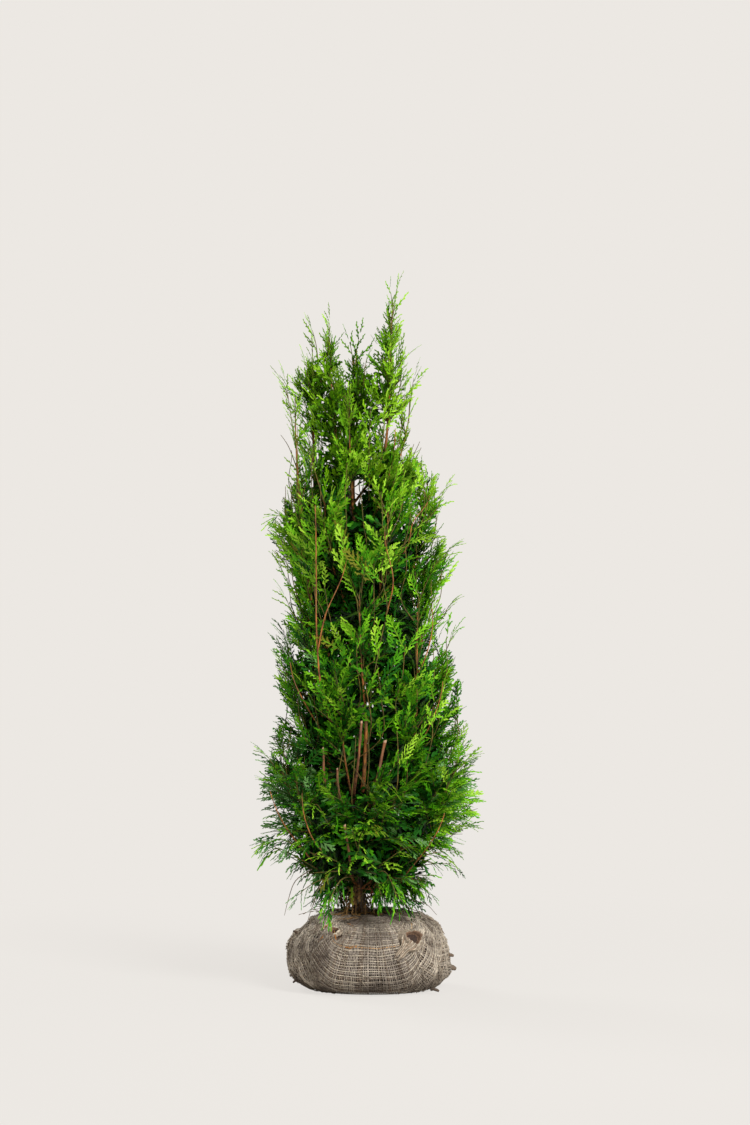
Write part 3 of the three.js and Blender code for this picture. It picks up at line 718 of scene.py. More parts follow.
def trunk():
    def radius_at(share, around):
        lobes = 1 + 0.35 * np.cos(3 * around + 0.6)
        plain = TRUNK_RADIUS + (TRUNK_TIP_RADIUS - TRUNK_RADIUS) * share
        flared = plain + FLARE * lobes * np.exp(-share * trunk_length / FLARE_HEIGHT)
        relief = bark_relief(share, around, trunk_length, plain, 1.0)
        return flared + BARK_RELIEF * relief * plain / TRUNK_RADIUS

    skin = limb_skin(trunk_line, radius_at, 340, 36)
    skin[..., 2] = np.where(skin[..., 2] < TRUNK_FOOT[2] + 0.004, TRUNK_FOOT[2], skin[..., 2])
    bark = bark_finish("trunk_bark", (66, 50, 40), (136, 112, 92), (118, 108, 92))
    make_piece("trunk_bark", *capped(skin), [bark], "bark", ["trunk"])


trunk()


# The boughs. Ten slender limbs that leave the trunk sideways and turn upright: a ring of six that carries
# the middle of the crown, and four for the leaders. Their bark is young, thin and orange-brown.
CLEARANCE = 0.0003  # between solids that touch on the real plant
STEM_RADIUS, STEM_TIP_RADIUS = 0.0026, 0.0006
# The crown's outline as height, half-width and how far its middle lies off the origin.
CROWN = np.array([
    (0.135, 0.084, -0.014), (0.185, 0.132, -0.018), (0.23, 0.188, -0.018), (0.3, 0.21, -0.009),
    (0.4, 0.21, 0.002), (0.5, 0.186, 0.004), (0.68, 0.172, -0.006), (0.86, 0.17, -0.016),
    (0.94, 0.142, -0.024), (1.08, 0.124, -0.032), (1.18, 0.096, -0.016), (1.265, 0.06, 0.02),
])
CROWN_DEPTH = 0.9  # its depth as a share of its width
RING = {"count": 6, "first": 25, "lowest": 0.205, "step": 0.024, "place": 0.5, "top": 0.47,
        "top_step": 0.006, "radius": 0.0046}
LEADER_BOUGHS = [
    {"name": "right", "at": 0.79, "tip": (0.026, -0.004, 0.915), "radius": 0.0038},
    {"name": "centre", "at": 0.76, "tip": (-0.028, 0.026, 0.9), "radius": 0.0034},
    {"name": "left", "at": 0.56, "tip": (-0.096, 0.014, 0.87), "radius": 0.004},
    {"name": "far_left", "at": 0.47, "tip": (-0.118, -0.044, 0.83), "radius": 0.004},
]
YOUNG_BARK_RELIEF = 0.00035


def crown_at(height):
    """The crown's half-width at a height, and where its middle is there."""
    return np.interp(height, CROWN[:, 0], CROWN[:, 1]), np.interp(height, CROWN[:, 0], CROWN[:, 2])


def outness(points):
    """How far out points lie, as a share of the crown's half-width at their height."""
    half, middle = crown_at(points[..., 2])
    return np.hypot(points[..., 0] - middle, points[..., 1] / CROWN_DEPTH) / half


def outward(turn):
    return np.array([math.cos(math.radians(turn)), math.sin(math.radians(turn)), 0])


def in_crown(turn, height, place):
    """The point at a turn and height that lies a share of the crown's half-width off its middle."""
    half, middle = crown_at(height)
    away = outward(turn) * half * place
    return np.array([middle + away[0], away[1] * CROWN_DEPTH, height])


def rising(foot, tip, arch=0.0):
    """A limb's line: it leaves its foot sideways and bends upright. Arch lifts its middle."""
    share = np.linspace(0, 1, 9)[:, None]
    foot, tip = np.array(foot, float), np.array(tip, float)
    points = foot + (tip - foot) * (1 - (1 - share) ** 2)
    points[:, 2] = (foot[2] + (tip[2] - foot[2]) * share + arch * 4 * share * (1 - share))[:, 0]
    return Line(points)


def beyond(line):
    """The end of a limb, moved on by the clearance, where the stem that carries on from it begins."""
    return line.at(1) + line.heading(1) * CLEARANCE


def trunk_at(height):
    share = np.linspace(0, 1, 4001)
    return trunk_line.at(np.interp(height, trunk_line.at(share)[:, 2], share))


def all_boughs():
    boughs = {}
    for i in range(RING["count"]):
        order = (i * 5) % RING["count"]  # neighbours leave the trunk at different heights
        turn = RING["first"] + 360 / RING["count"] * i
        foot = trunk_at(RING["lowest"] + RING["step"] * order)
        tip = in_crown(turn, RING["top"] + RING["top_step"] * order, RING["place"])
        boughs[f"bough_ring_{i + 1}"] = (rising(foot, tip), RING["radius"])
    for bough in LEADER_BOUGHS:
        line = rising(trunk_at(bough["at"]), bough["tip"])
        boughs[f"bough_leader_{bough['name']}"] = (line, bough["radius"])
    return boughs


boughs = all_boughs()
young_bark = bark_finish("young_bark", (84, 50, 24), (184, 114, 50), (124, 96, 58))
shoot_bark = bark_finish("shoot_bark", (58, 56, 18), (120, 100, 34), (84, 92, 34))


def bough(name, line, radius, seed):
    length = line.length(101)

    def radius_at(share, around):
        plain = radius + (STEM_RADIUS - radius) * share
        knots = 0.09 * np.sin(share * length / 0.016 + seed) ** 12
        return plain * (1 + knots) + YOUNG_BARK_RELIEF * bark_relief(share, around, length, plain, seed)

    skin = limb_skin(line, radius_at, 90, 14)
    make_piece(f"{name}_bark", *capped(skin), [young_bark], "young_bark", [name])


for seed, (name, (line, radius)) in enumerate(boughs.items()):
    bough(name, line, radius, float(seed))


# The twigs. Each mass of foliage has one stem, which grows on from a bough or the trunk, and side shoots
# dealt round it by the golden section, which fill the space nearest the stem. All are orange-brown wood
# that greens towards its tip.
BALL_GAP = 0.004
CELL_GAP = -0.012  # neighbouring masses reach this far into each other
FROND_CELL_GAP = -0.036  # and their fronds this far
CELL_REACH = 1.9  # how far a mass reaches from its stem, in its widths
TOP_STEP = 0.007  # between the heights at which the masses of a tier end
TIERS = [
    {"name": "skirt", "first": 12, "at": 0.166, "step": 0.005, "place": 0.6, "top": 0.206, "lean": (128, 84),
     "arch": 0.022, "wide": 0.06},
    {"name": "low", "first": 36, "at": 0.205, "step": 0.007, "place": 0.66, "top": 0.34, "lean": (96, 30)},
    {"name": "waist", "first": 4, "at": 0.29, "step": 0.008, "place": 0.64, "top": 0.51, "lean": (76, 24)},
    {"name": "middle", "first": 25, "place": 0.64, "top": 0.69, "lean": (72, 22), "bare": 0.08},
    {"name": "upper", "first": 356, "at": 0.59, "step": 0.012, "place": 0.64, "top": 0.85, "lean": (72, 20)},
]
TIER = {"count": 6, "swing": 105, "fronds": 9, "frond": 0.136, "wide": 0.076, "bare": 0.3, "arch": 0.0}
LEADERS = [
    {"name": "right", "bough": "right", "tip": (0.04, -0.006, 1.188), "fronds": 15, "bare": 0.02},
    {"name": "centre", "bough": "centre", "tip": (-0.026, 0.014, 1.112), "bare": 0.02},
    {"name": "left_centre", "tip": (-0.069, -0.004, 1.146), "fronds": 8, "bare": 0.02},
    {"name": "left", "bough": "left", "tip": (-0.1, 0.016, 1.128), "fronds": 14, "bare": 0.02},
    {"name": "far_left", "bough": "far_left", "tip": (-0.13, -0.016, 1.04), "bare": 0.02},
    {"name": "far_right", "at": 0.8, "tip": (0.072, 0.012, 1.04)},
    {"name": "back", "at": 0.83, "tip": (-0.052, 0.074, 1.04)},
    {"name": "front", "at": 0.815, "tip": (-0.034, -0.07, 1.01)},
    {"name": "back_right", "at": 0.85, "tip": (0.032, 0.066, 1.0)},
    {"name": "front_right", "at": 0.78, "tip": (0.046, -0.058, 0.985)},
]
LEADER = {"turn": 0, "swing": 180, "fronds": 14, "frond": 0.108, "wide": 0.054, "lean": (66, 10),
          "bare": 0.3, "arch": 0.0}
GOLDEN_SHARE = 0.618
FINER, FINER_LEADER = 2, 3  # how many shoots there are here for each frond of the solids


def seeded(seed):
    """A number from 0 to 1 at each call, the same ones for the same seed as the solids draw."""
    state = (seed * 2654435761) % 2**32

    def draw():
        nonlocal state
        state = (state * 1664525 + 1013904223) % 2**32
        return state / 2**32

    return draw


def leader_tier(x):
    return "leaders_left" if x < -0.03 else "leaders_right"


def all_masses():
    masses = []
    for tier in TIERS:
        tier = {**TIER, **tier, "tier": tier["name"]}
        for i in range(tier["count"]):
            turn = tier["first"] + 360 / tier["count"] * i
            rise = tier.get("step", 0) * ((i * 5) % tier["count"])
            foot = trunk_at(tier["at"] + rise) if "at" in tier else beyond(boughs[f"bough_ring_{i + 1}"][0])
            tip = in_crown(turn, tier["top"] + TOP_STEP * ((i * 2) % 5) - 2 * TOP_STEP, tier["place"])
            name = f"foliage_{tier['name']}_{i + 1}"
            masses.append({**tier, "name": name, "turn": turn, "line": rising(foot, tip, tier["arch"])})
    for leader in LEADERS:
        leader = {**LEADER, **leader}
        if "at" in leader:
            foot = trunk_at(leader["at"])
        elif "bough" in leader:
            foot = beyond(boughs[f"bough_leader_{leader['bough']}"][0])
        else:
            foot = beyond(trunk_line)
        tier, name = leader_tier(leader["tip"][0]), f"foliage_leader_{leader['name']}"
        masses.append({**leader, "name": name, "tier": tier, "line": rising(foot, leader["tip"])})
    for i, mass in enumerate(masses):
        line = mass["line"]
        past = line.at(1) + line.heading(1) * mass["frond"]
        mass["seed"] = i + 1
        mass["gathering"] = np.vstack([line.at(np.linspace(0, 1, 10))[1:], past])
    return masses


masses = all_masses()
gathering_from = np.concatenate([mass["gathering"][:-1] for mass in masses])
gathering_to = np.concatenate([mass["gathering"][1:] for mass in masses])


def distances(points):
    """How far each point is from each mass's gathering line."""
    step = gathering_to - gathering_from
    share = np.einsum("psk,sk->ps", points[:, None] - gathering_from, step) / (step**2).sum(1)
    nearest = gathering_from + np.clip(share, 0, 1)[..., None] * step
    away = np.linalg.norm(points[:, None] - nearest, axis=-1)
    return away.reshape(len(points), len(masses), len(gathering_from) // len(masses)).min(2)


def rows_of_three(millimetres):
    return np.reshape(millimetres, (-1, 3)) / 1000


# The crown's left and right edge as the photograph shows them, as height, left and right in millimetres.
EDGES = rows_of_three([
    148, -100, 78, 176, -128, 104, 205, -142, 140, 233, -170, 150, 261, -196, 158, 289, -186, 184,
    346, -184, 187, 374, -182, 190, 402, -184, 184, 431, -171, 176, 459, -161, 164, 487, -147, 160,
    515, -152, 150, 572, -153, 151, 600, -155, 134, 628, -161, 139, 657, -161, 144, 685, -138, 127,
    713, -141, 132, 770, -161, 143, 798, -166, 129, 826, -170, 120, 854, -157, 122, 882, -135, 118,
    911, -137, 118, 939, -129, 88, 967, -129, 73, 995, -132, 65, 1024, -139, 77, 1052, -147, 81,
    1080, -151, 84, 1108, -124, 67, 1137, -108, 64, 1165, -95, 56, 1193, -90, 54, 1221, -80, 54,
    1270, 20, 56,
])
CEILING, SPIRE_FOOT, SPIRE_SPREAD, SPIRE_TAPER = 0.067, 0.005, 0.4, 0.05  # how a leader narrows to its top
# Where the crown is open, as across, height, half-width, half-height and how far forward that begins: one
# gap right through it below the leaders, and a dark hollow in front with the pruned limbs.
OPENINGS = [
    (-0.02, 0.88, 0.012, 0.021, 9.0), (-0.018, 0.41, 0.028, 0.054, -0.06),
    (-0.036, 0.386, 0.018, 0.024, -0.05),
]
# The trunk's foot is seen up to this height, and kept free over this half-width.
FOOT_SEEN_TO, FOOT_MIDDLE, FOOT_GAP = 0.205, -0.018, 0.018


def kept_open(points):
    """Whether each point would hide the foot of the trunk, or close an opening of the crown."""
    x, y, z = points.T
    closed = (z < FOOT_SEEN_TO) & (y < 0) & (np.abs(x - FOOT_MIDDLE) < FOOT_GAP)
    for across, height, half_width, half_height, forward in OPENINGS:
        closed |= (y < forward) & (((x - across) / half_width) ** 2 + ((z - height) / half_height) ** 2 < 1)
    return closed


def in_sight_edge(points, farthest_out):
    """Whether each point is inside the crown's outline, drawn out or in by a share."""
    left = np.interp(points[:, 2], EDGES[:, 0], EDGES[:, 1])
    right = np.interp(points[:, 2], EDGES[:, 0], EDGES[:, 2])
    return np.hypot((points[:, 0] - (left + right) / 2) / (right - left),
                    points[:, 1] / CROWN_DEPTH / (right - left)) * 2 < farthest_out


def in_leader(each):
    return each["tier"].startswith("leaders")


def owned(order, points, farthest_out, cell_gap=CELL_GAP):
    """Whether each point is in the space of the mass with that order, as the solids' rule has it."""
    mass = masses[order]
    fine = in_sight_edge(points, farthest_out) & (points[:, 2] > BALL_TOP + BALL_GAP)
    if in_leader(mass):
        below_top = mass["tip"][2] + CEILING - points[:, 2]
        fine &= below_top > 0
    away = distances(points[fine])
    own = away[:, order].copy()
    away[:, order] = np.inf
    near = (own < mass["wide"] * CELL_REACH) & (away.min(1) > own + cell_gap)
    if in_leader(mass):
        below_top = below_top[fine]
        near &= own < SPIRE_FOOT + SPIRE_SPREAD * below_top**2 / (below_top + SPIRE_TAPER)
    fine[fine] = near
    return fine


def turned(vector, axis, angle):
    """A vector turned about a unit axis."""
    return (vector * math.cos(angle) + np.cross(axis, vector) * math.sin(angle)
            + axis * np.dot(axis, vector) * (1 - math.cos(angle)))


SHOOT_OUTLINE = np.array([
    (0, 0), (0.42, 0.19), (0.47, 0.07), (0.71, 0.14), (0.73, 0.045), (1, 0), (0.6, -0.17), (0.49, -0.06),
    (0.3, -0.15),
])
HIGH_POINT = np.array([0.4, 0])
WING_DROOP, TIP_DROOP = 0.22, 0.07
SHORTEST_SHOOT = 0.4


def outline_samples():
    """Points spread over a shoot's outline, in shares of its length."""
    rims = [SHOOT_OUTLINE, (SHOOT_OUTLINE + np.roll(SHOOT_OUTLINE, -1, 0)) / 2]
    return np.concatenate([HIGH_POINT + (rim - HIGH_POINT) * share for rim in rims for share in (0.5, 1)])


SAMPLES = outline_samples()


def shoots_of(order):
    """The side shoots of a mass: those of the solids first, drawn in the same way, and finer ones between."""
    mass = masses[order]
    random = seeded(mass["seed"])
    count = mass["fronds"]
    shoots = []
    finer = FINER_LEADER if in_leader(mass) else FINER
    for i in range(finer * (count + 1)):
        level, between = i % (count + 1), i // (count + 1)
        rise = min(1, (level + between / finer) / count)
        swing = mass["swing"] * (2 * ((i * GOLDEN_SHARE + 0.12 * random()) % 1) - 1)
        away = outward(mass["turn"] + swing)
        low, high = mass["lean"]
        lean = math.radians(low + (high - low) * rise + 16 * (random() - 0.5))
        along = np.array([0, 0, math.cos(lean)]) + away * math.sin(lean)
        level_way = outward(mass["turn"] + swing + 90)
        across = turned(level_way, along, math.radians(110 * (random() - 0.5)))
        face = np.cross(along, across)
        root = mass["line"].at(mass["bare"] + (1 - mass["bare"]) * rise)
        length = mass["frond"] * (0.82 + 0.26 * random())
        farthest_out = 0.94 + 0.18 * random()
        sizes = np.arange(1, SHORTEST_SHOOT, -0.125)
        x, y = SAMPLES[:, :1], SAMPLES[:, 1:]
        spread = along * x + across * y - face * (np.abs(y) * WING_DROOP + x**2 * TIP_DROOP)
        points = root + spread * (length * sizes)[:, None, None]
        fine = owned(order, points.reshape(-1, 3), farthest_out).reshape(len(sizes), -1)
        fine |= np.linalg.norm(points - root, axis=-1) < 0.012
        fitting = np.nonzero(fine.all(1))[0]
        if len(fitting):
            if face[2] < 0:
                across, face = -across, -face
            shoots.append({"root": root, "along": along, "across": across, "face": face,
                           "length": length * sizes[fitting[0]], "rise": rise, "mass": mass})
    return shoots


shoots = [shoot for order in range(len(masses)) for shoot in shoots_of(order)]


# Sprigs: branchlets that leave a stem and climb the outside of the crown, or hang and reach out at its edges.
# Those that the photograph shows are given by the places they pass, the others are spread round the crown.
SPRIG = {
    "thick": 0.0014,  # radius
    "frond": 0.088,  # length of its fronds
    "first": 0.3,  # where along it they begin
    "hang": 0.05,  # how far they sag by their weight
    "tint": 0.0,  # what is added to the score that their tint goes by; below 0 it darkens them as painted shade
    "kinds": (0.5, 0.36, 0.14),  # how likely ferns, feathers and strings are
    "bark": 0,  # 1 where it is a green shoot
    "farthest": 1.0,  # how far out its fronds may be, as a share of the crown's outline
    "bend": 0.2,  # how far their tips bend over
}
# What the sprigs of each habit have that the usual one hasn't.
HABITS = {
    "climbing": {},
    "filling": {"thick": 0.0011, "frond": 0.06, "first": 0.1, "bark": 1},
    "ferny": {"thick": 0.001, "frond": 0.05, "hang": 0.3, "first": 0.1, "bark": 1},
    "drooping": {"thick": 0.0012, "frond": 0.034, "hang": 0.5, "bark": 1, "farthest": 9.0},
    "reaching": {"thick": 0.0015, "frond": 0.045, "hang": 0.3, "bark": 1, "farthest": 1.15},
    "slender": {"thick": 0.001, "frond": 0.05, "first": 0.0, "tint": 0.1, "bark": 1},
    "wispy": {"thick": 0.0009, "frond": 0.036, "first": 0.0, "tint": 0.1, "kinds": (0.1, 0.8, 0.1),
              "bark": 1, "farthest": 9.0, "bend": 0.06},
    "poking": {"thick": 0.0009, "frond": 0.038, "first": 0.3, "hang": 0.1, "tint": 0.1,
               "kinds": (0.2, 0.5, 0.3), "bark": 1, "farthest": 9.0, "bend": 0.1},
}


def shown(tier, habit, places, **own):
    """A sprig that passes places given in millimetres, with what it has of its own."""
    return {"tier": tier, **HABITS[habit], **own, "places": rows_of_three(places)}


SHOWN_SPRIGS = [
    shown("waist", "climbing", [-50, -30, 430, -80, -100, 517, -90, -118, 621, -91, -118, 740,
          -93, -110, 850, -98, -100, 910], thick=0.0019, first=0.42, tint=0.25),
    shown("waist", "climbing", [-88, -120, 600, -75, -128, 660, -45, -130, 730, -30, -126, 800],
          thick=0.0015, frond=0.098, tint=0.3, kinds=(1.0, 0.0, 0.0)),
    shown("middle", "filling", [0, -40, 480, 5, -120, 535, 23, -126, 628, 32, -130, 672, 22, -126, 735,
          36, -120, 830, 50, -118, 875, 62, -124, 860], tint=0.25),
    shown("middle", "climbing", [30, -100, 660, 42, -130, 720, 28, -130, 790, 30, -124, 850], frond=0.06,
          tint=0.4, kinds=(0.2, 0.4, 0.4)),
    shown("low", "climbing", [-10, -60, 400, 4, -110, 470, -4, -130, 530, -18, -130, 600], bark=1),
    shown("low", "climbing", [30, -80, 300, 48, -140, 360, 50, -146, 430, 44, -136, 510], first=0.2,
          tint=0.2, bark=1),
    shown("low", "climbing", [-60, -20, 420, -109, -90, 503, -131, -96, 550, -142, -90, 620], tint=-0.1),
    shown("low", "climbing", [-100, -50, 230, -146, -96, 295, -165, -100, 335, -180, -90, 385], tint=-0.2),
    shown("low", "climbing", [-70, -60, 235, -99, -130, 279, -113, -140, 325, -115, -130, 400], tint=-0.1),
    shown("low", "climbing", [60, -30, 380, 106, -90, 469, 125, -96, 521, 130, -90, 580], tint=0.1),
    shown("low", "climbing", [60, -50, 200, 106, -110, 265, 124, -116, 298, 140, -110, 350]),
    shown("upper", "climbing", [30, -30, 720, 69, -80, 785, 76, -90, 819, 104, -80, 860, 106, -70, 900],
          first=0.62),
    shown("waist", "climbing", [50, -50, 500, 95, -110, 580, 110, -110, 640, 105, -100, 720], tint=0.15),
    shown("low", "ferny", [-15, -30, 220, -18, -100, 250, -12, -135, 285, 4, -150, 300], tint=0.6),
    shown("low", "ferny", [0, -30, 200, 30, -110, 235, 70, -140, 262, 100, -150, 260], frond=0.055,
          tint=0.65),
    shown("low", "ferny", [-20, -30, 210, -60, -100, 235, -90, -130, 250, -100, -140, 235], tint=0.55),
    shown("low", "ferny", [-30, -40, 260, -70, -120, 300, -90, -140, 335, -100, -150, 330], tint=0.35),
    shown("low", "ferny", [0, -30, 300, 10, -120, 340, 0, -145, 372, 30, -160, 375], tint=0.3),
    shown("skirt", "reaching", [-30, -20, 175, -120, -50, 232, -158, -50, 250, -182, -50, 246], hang=0.5,
          tint=-0.2),
    shown("skirt", "reaching", [-30, -30, 200, -110, -70, 250, -150, -80, 268, -178, -80, 270], frond=0.055,
          hang=0.4, tint=-0.2),
    shown("skirt", "reaching", [10, -20, 190, 85, -60, 235, 120, -70, 246, 148, -70, 246], tint=-0.1,
          farthest=1.08),
    shown("skirt", "drooping", [-20, -20, 190, -80, -80, 200, -112, -100, 184, -130, -100, 164],
          frond=0.028, first=0.5, kinds=(0.1, 0.4, 0.5)),
    shown("skirt", "drooping", [-20, -30, 200, -50, -110, 200, -68, -140, 168, -72, -140, 152],
          thick=0.0014, tint=0.15),
    shown("skirt", "drooping", [0, -30, 200, 30, -120, 215, 45, -140, 185, 50, -140, 164], thick=0.0014,
          tint=0.1),
    shown("skirt", "drooping", [0, -20, 190, 60, -60, 205, 95, -80, 186, 112, -80, 168], frond=0.02,
          first=0.5),
    shown("skirt", "reaching", [0, -20, 210, 70, -60, 235, 105, -80, 230, 122, -80, 224], thick=0.0012,
          first=0.2, tint=-0.3, farthest=1.04),
    shown("skirt", "drooping", [0, -30, 180, 30, -60, 184, 55, -90, 172, 75, -100, 158], frond=0.04,
          first=0.1, hang=0.3, tint=-0.4),
    shown("skirt", "drooping", [0, 0, 170, 40, -10, 186, 75, -20, 180, 88, -20, 166], first=0.1, hang=0.3,
          tint=-0.4),
    shown("skirt", "drooping", [-20, 0, 170, -50, -20, 186, -75, -30, 178, -95, -30, 160], frond=0.04,
          first=0.1, hang=0.3, tint=-0.4),
    shown("skirt", "drooping", [6, -30, 200, 14, -80, 196, 20, -120, 180, 26, -130, 164], frond=0.036,
          first=0.2, hang=0.3, tint=-0.2),
    shown("low", "ferny", [60, -80, 420, 90, -130, 460, 105, -140, 484, 120, -130, 490], first=0.2, tint=0.6),
    shown("low", "filling", [60, 0, 400, 112, 0, 450, 128, 0, 500, 130, 0, 560]),
    shown("low", "filling", [60, -40, 400, 108, -50, 440, 124, -55, 480, 126, -55, 530], tint=0.1),
    shown("low", "filling", [-60, 0, 410, -112, 0, 460, -126, 0, 510, -130, 0, 570]),
    shown("low", "filling", [-60, -50, 400, -108, -70, 440, -122, -70, 490, -124, -70, 550]),
    shown("leaders_right", "slender", [34, -20, 1100, 40, -25, 1150, 41, -25, 1200], frond=0.036,
          farthest=1.3),
    shown("waist", "filling", [60, -20, 480, 106, -20, 530, 120, -20, 570, 122, -20, 620], frond=0.055,
          tint=0.1),
    shown("skirt", "ferny", [20, -20, 190, 100, -50, 222, 135, -50, 224, 156, -50, 213], frond=0.022,
          first=0.4, hang=0.4, kinds=(0.1, 0.4, 0.5), farthest=1.2),
    shown("middle", "slender", [20, 0, 570, 46, 0, 620, 60, 0, 690], frond=0.08, tint=-0.6, farthest=0.8),
    shown("middle", "slender", [10, -40, 560, 36, -70, 610, 50, -70, 670], frond=0.08, tint=-0.6,
          farthest=0.8),
    shown("skirt", "drooping", [-4, -20, 160, 20, -50, 170, 45, -70, 164, 66, -80, 150], thick=0.001,
          first=0.0, hang=0.3, tint=-0.5),
    shown("skirt", "drooping", [-4, 0, 160, 30, -10, 172, 56, -20, 166, 80, -20, 150], thick=0.001,
          first=0.0, hang=0.3, tint=-0.5),
    shown("skirt", "drooping", [-30, 10, 160, -50, 0, 172, -70, -10, 164, -88, -20, 150], thick=0.001,
          first=0.0, hang=0.3, tint=-0.5),
    shown("leaders_left", "slender", [-118, -40, 800, -126, -70, 880, -124, -64, 960, -128, -50, 1030],
          frond=0.058, first=0.05, tint=0.25),
    shown("leaders_left", "slender", [-96, -50, 840, -100, -82, 900, -94, -70, 990], frond=0.058,
          first=0.05, tint=0.25),
    shown("leaders_left", "climbing", [-116, -44, 820, -124, -40, 900, -129, -26, 980, -130, -16, 1040],
          frond=0.044, first=0.0, tint=0.2, kinds=(0.3, 0.6, 0.1), farthest=1.16),
    shown("leaders_left", "wispy", [-128, -30, 950, -136, -30, 1000, -143, -30, 1050, -149, -30, 1085],
          frond=0.034, tint=0.25),
    shown("leaders_left", "wispy", [-96, 0, 1040, -99, -10, 1090, -100, -10, 1130, -102, -10, 1170],
          frond=0.038, tint=0.2),
    shown("leaders_left", "wispy", [-74, 0, 1080, -72, -10, 1120, -70, -10, 1150, -69, -10, 1185],
          frond=0.034, tint=0.2),
    shown("leaders_right", "slender", [10, -30, 860, 22, -60, 930, 28, -60, 1000, 36, -40, 1060],
          frond=0.056),
    shown("leaders_right", "slender", [0, -40, 860, 0, -70, 930, 2, -60, 1000, 4, -40, 1050], frond=0.052),
    shown("leaders_right", "slender", [30, -20, 900, 52, -40, 960, 60, -40, 1020, 66, -30, 1080]),
]
# Where single twigs reach out past the crown's sides: how far right, how high and how far their ends rise.
SIDE_TWIGS = rows_of_three([
    146, 855, 30, 160, 770, 10, 157, 662, 20, 164, 604, 30, 196, 402, 10, 190, 290, 0, -180, 838, -10,
    -173, 780, 20, -163, 670, 30, -168, 550, 30, -200, 400, 20, -193, 360, 10, -200, 262, 0,
])
for right, height, rise in SIDE_TWIGS:
    tier = "low" if height < 0.46 else "waist" if height < 0.62 else "middle" if height < 0.8 else "upper"
    places = [(right * 0.5, -0.03, height - 0.05), (right * 0.8, -0.05, height - 0.012),
              (right * 0.88, -0.05, height + rise * 0.5), (right * 0.92, -0.05, height + rise)]
    SHOWN_SPRIGS.append({"tier": tier, **HABITS["poking"], "first": 0.4, "places": places})
# Where such twigs reach out to the front and to the back: how far right, how far back and how high.
FRONT_AND_BACK_TWIGS = rows_of_three([
    30, -197, 325, -70, -193, 355, 100, -180, 400, -30, -190, 290, 40, 194, 340, -60, 190, 380, -10, 190, 300,
])
for right, back, height in FRONT_AND_BACK_TWIGS:
    places = [(right * 0.5, back * 0.4, height - 0.05), (right * 0.8, back * 0.7, height - 0.016),
              (right * 0.92, back * 0.84, height), (right, back * 0.92, height + 0.008)]
    SHOWN_SPRIGS.append({"tier": "low", **HABITS["poking"], "kinds": (0.3, 0.5, 0.2), "places": places})
WISP_END = 0.024  # how far the last frond carries a wisp on
# The wisps on the leaders' tops, as how far right and how high each starts and ends.
TOP_WISPS = [
    (0.042, 1.18, 0.037, 1.262), (0.043, 1.19, 0.052, 1.27), (0.05, 1.09, 0.072, 1.145),
    (-0.028, 1.1, -0.036, 1.17), (-0.024, 1.1, -0.015, 1.182), (-0.01, 1.06, -0.001, 1.15),
    (-0.072, 1.11, -0.069, 1.214), (-0.09, 1.11, -0.104, 1.197), (-0.08, 1.1, -0.058, 1.16),
    (-0.106, 1.06, -0.113, 1.135), (-0.143, 1.04, -0.156, 1.1), (-0.122, 1.02, -0.126, 1.08),
    (0.06, 1.02, 0.086, 1.1), (0.07, 1.0, 0.083, 1.12), (0.04, 1.1, 0.014, 1.16),
]
for start, foot, end, top in TOP_WISPS:
    top -= WISP_END
    places = [(start, -0.01, foot), ((start * 2 + end) / 3, -0.01, (foot + top) / 2), (end, -0.01, top)]
    own = {"first": 0.1, "kinds": (0, 0.85, 0.15), "bend": 0.04, "places": places}
    SHOWN_SPRIGS.append({"tier": leader_tier(end), **HABITS["wispy"], **own})
SPRIGS_EACH, SPRIGS_EACH_LEADER = 4, 3
# A dealt sprig's way out, as shares of its climb and of the crown's half-width.
CLIMB = [(0.28, 0.64), (0.6, 0.78), (0.85, 0.8), (1, 0.85)]


def all_sprigs():
    """Those that the photograph shows, and then a few dealt to each mass but the skirt's."""
    sprigs = [{**SPRIG, **sprig, "line": Line(sprig["places"])} for sprig in SHOWN_SPRIGS]
    draw = np.random.default_rng(20)
    for mass in masses:
        if mass["tier"] == "skirt":
            continue
        for i in range(SPRIGS_EACH_LEADER if in_leader(mass) else SPRIGS_EACH):
            if in_leader(mass):
                foot = mass["line"].at(draw.uniform(0, 0.5))
                top = mass["line"].at(0.75) + outward(draw.uniform(0, 360)) * draw.uniform(0.02, 0.045)
                places = [foot, foot * 0.4 + top * 0.6 + (top - foot)[::-1] * [0.08, 0, 0], top]
                own = {"thick": 0.001, "frond": 0.06, "first": 0.1, "tint": draw.normal(0.1, 0.2)}
            else:
                foot = mass["line"].at(draw.uniform(0.25, 0.85))
                turn = mass["turn"] + 60 / SPRIGS_EACH * (i - 1) + draw.uniform(-9, 9)
                climb, bow = draw.uniform(0.15, 0.22), draw.uniform(-14, 14)
                places = [foot]
                for share, place in CLIMB:
                    places.append(in_crown(turn + bow * share, foot[2] + climb * share, place))
                hang = 0.3 if mass["tier"] == "low" else 0.08
                own = {"thick": 0.0011, "first": 0.18, "tint": draw.normal(0, 0.2), "hang": hang}
            sprigs.append({**SPRIG, "tier": mass["tier"], "line": Line(places), "bark": 1, **own})
    return sprigs


sprigs = all_sprigs()


def rib_at(shoot, share):
    """The line of a shoot, which droops towards its tip."""
    x = np.asarray(share, float)[..., None] * shoot["length"]
    return shoot["root"] + shoot["along"] * x - shoot["face"] * TIP_DROOP * x**2 / shoot["length"]


RIB_RADIUS, RIB_TIP_RADIUS = 0.0013, 0.0004
SPRIG_TAPER, SPRIG_BARE_TO = 0.45, 0.8  # its thinnest as a share of its thickness, and where its wood ends


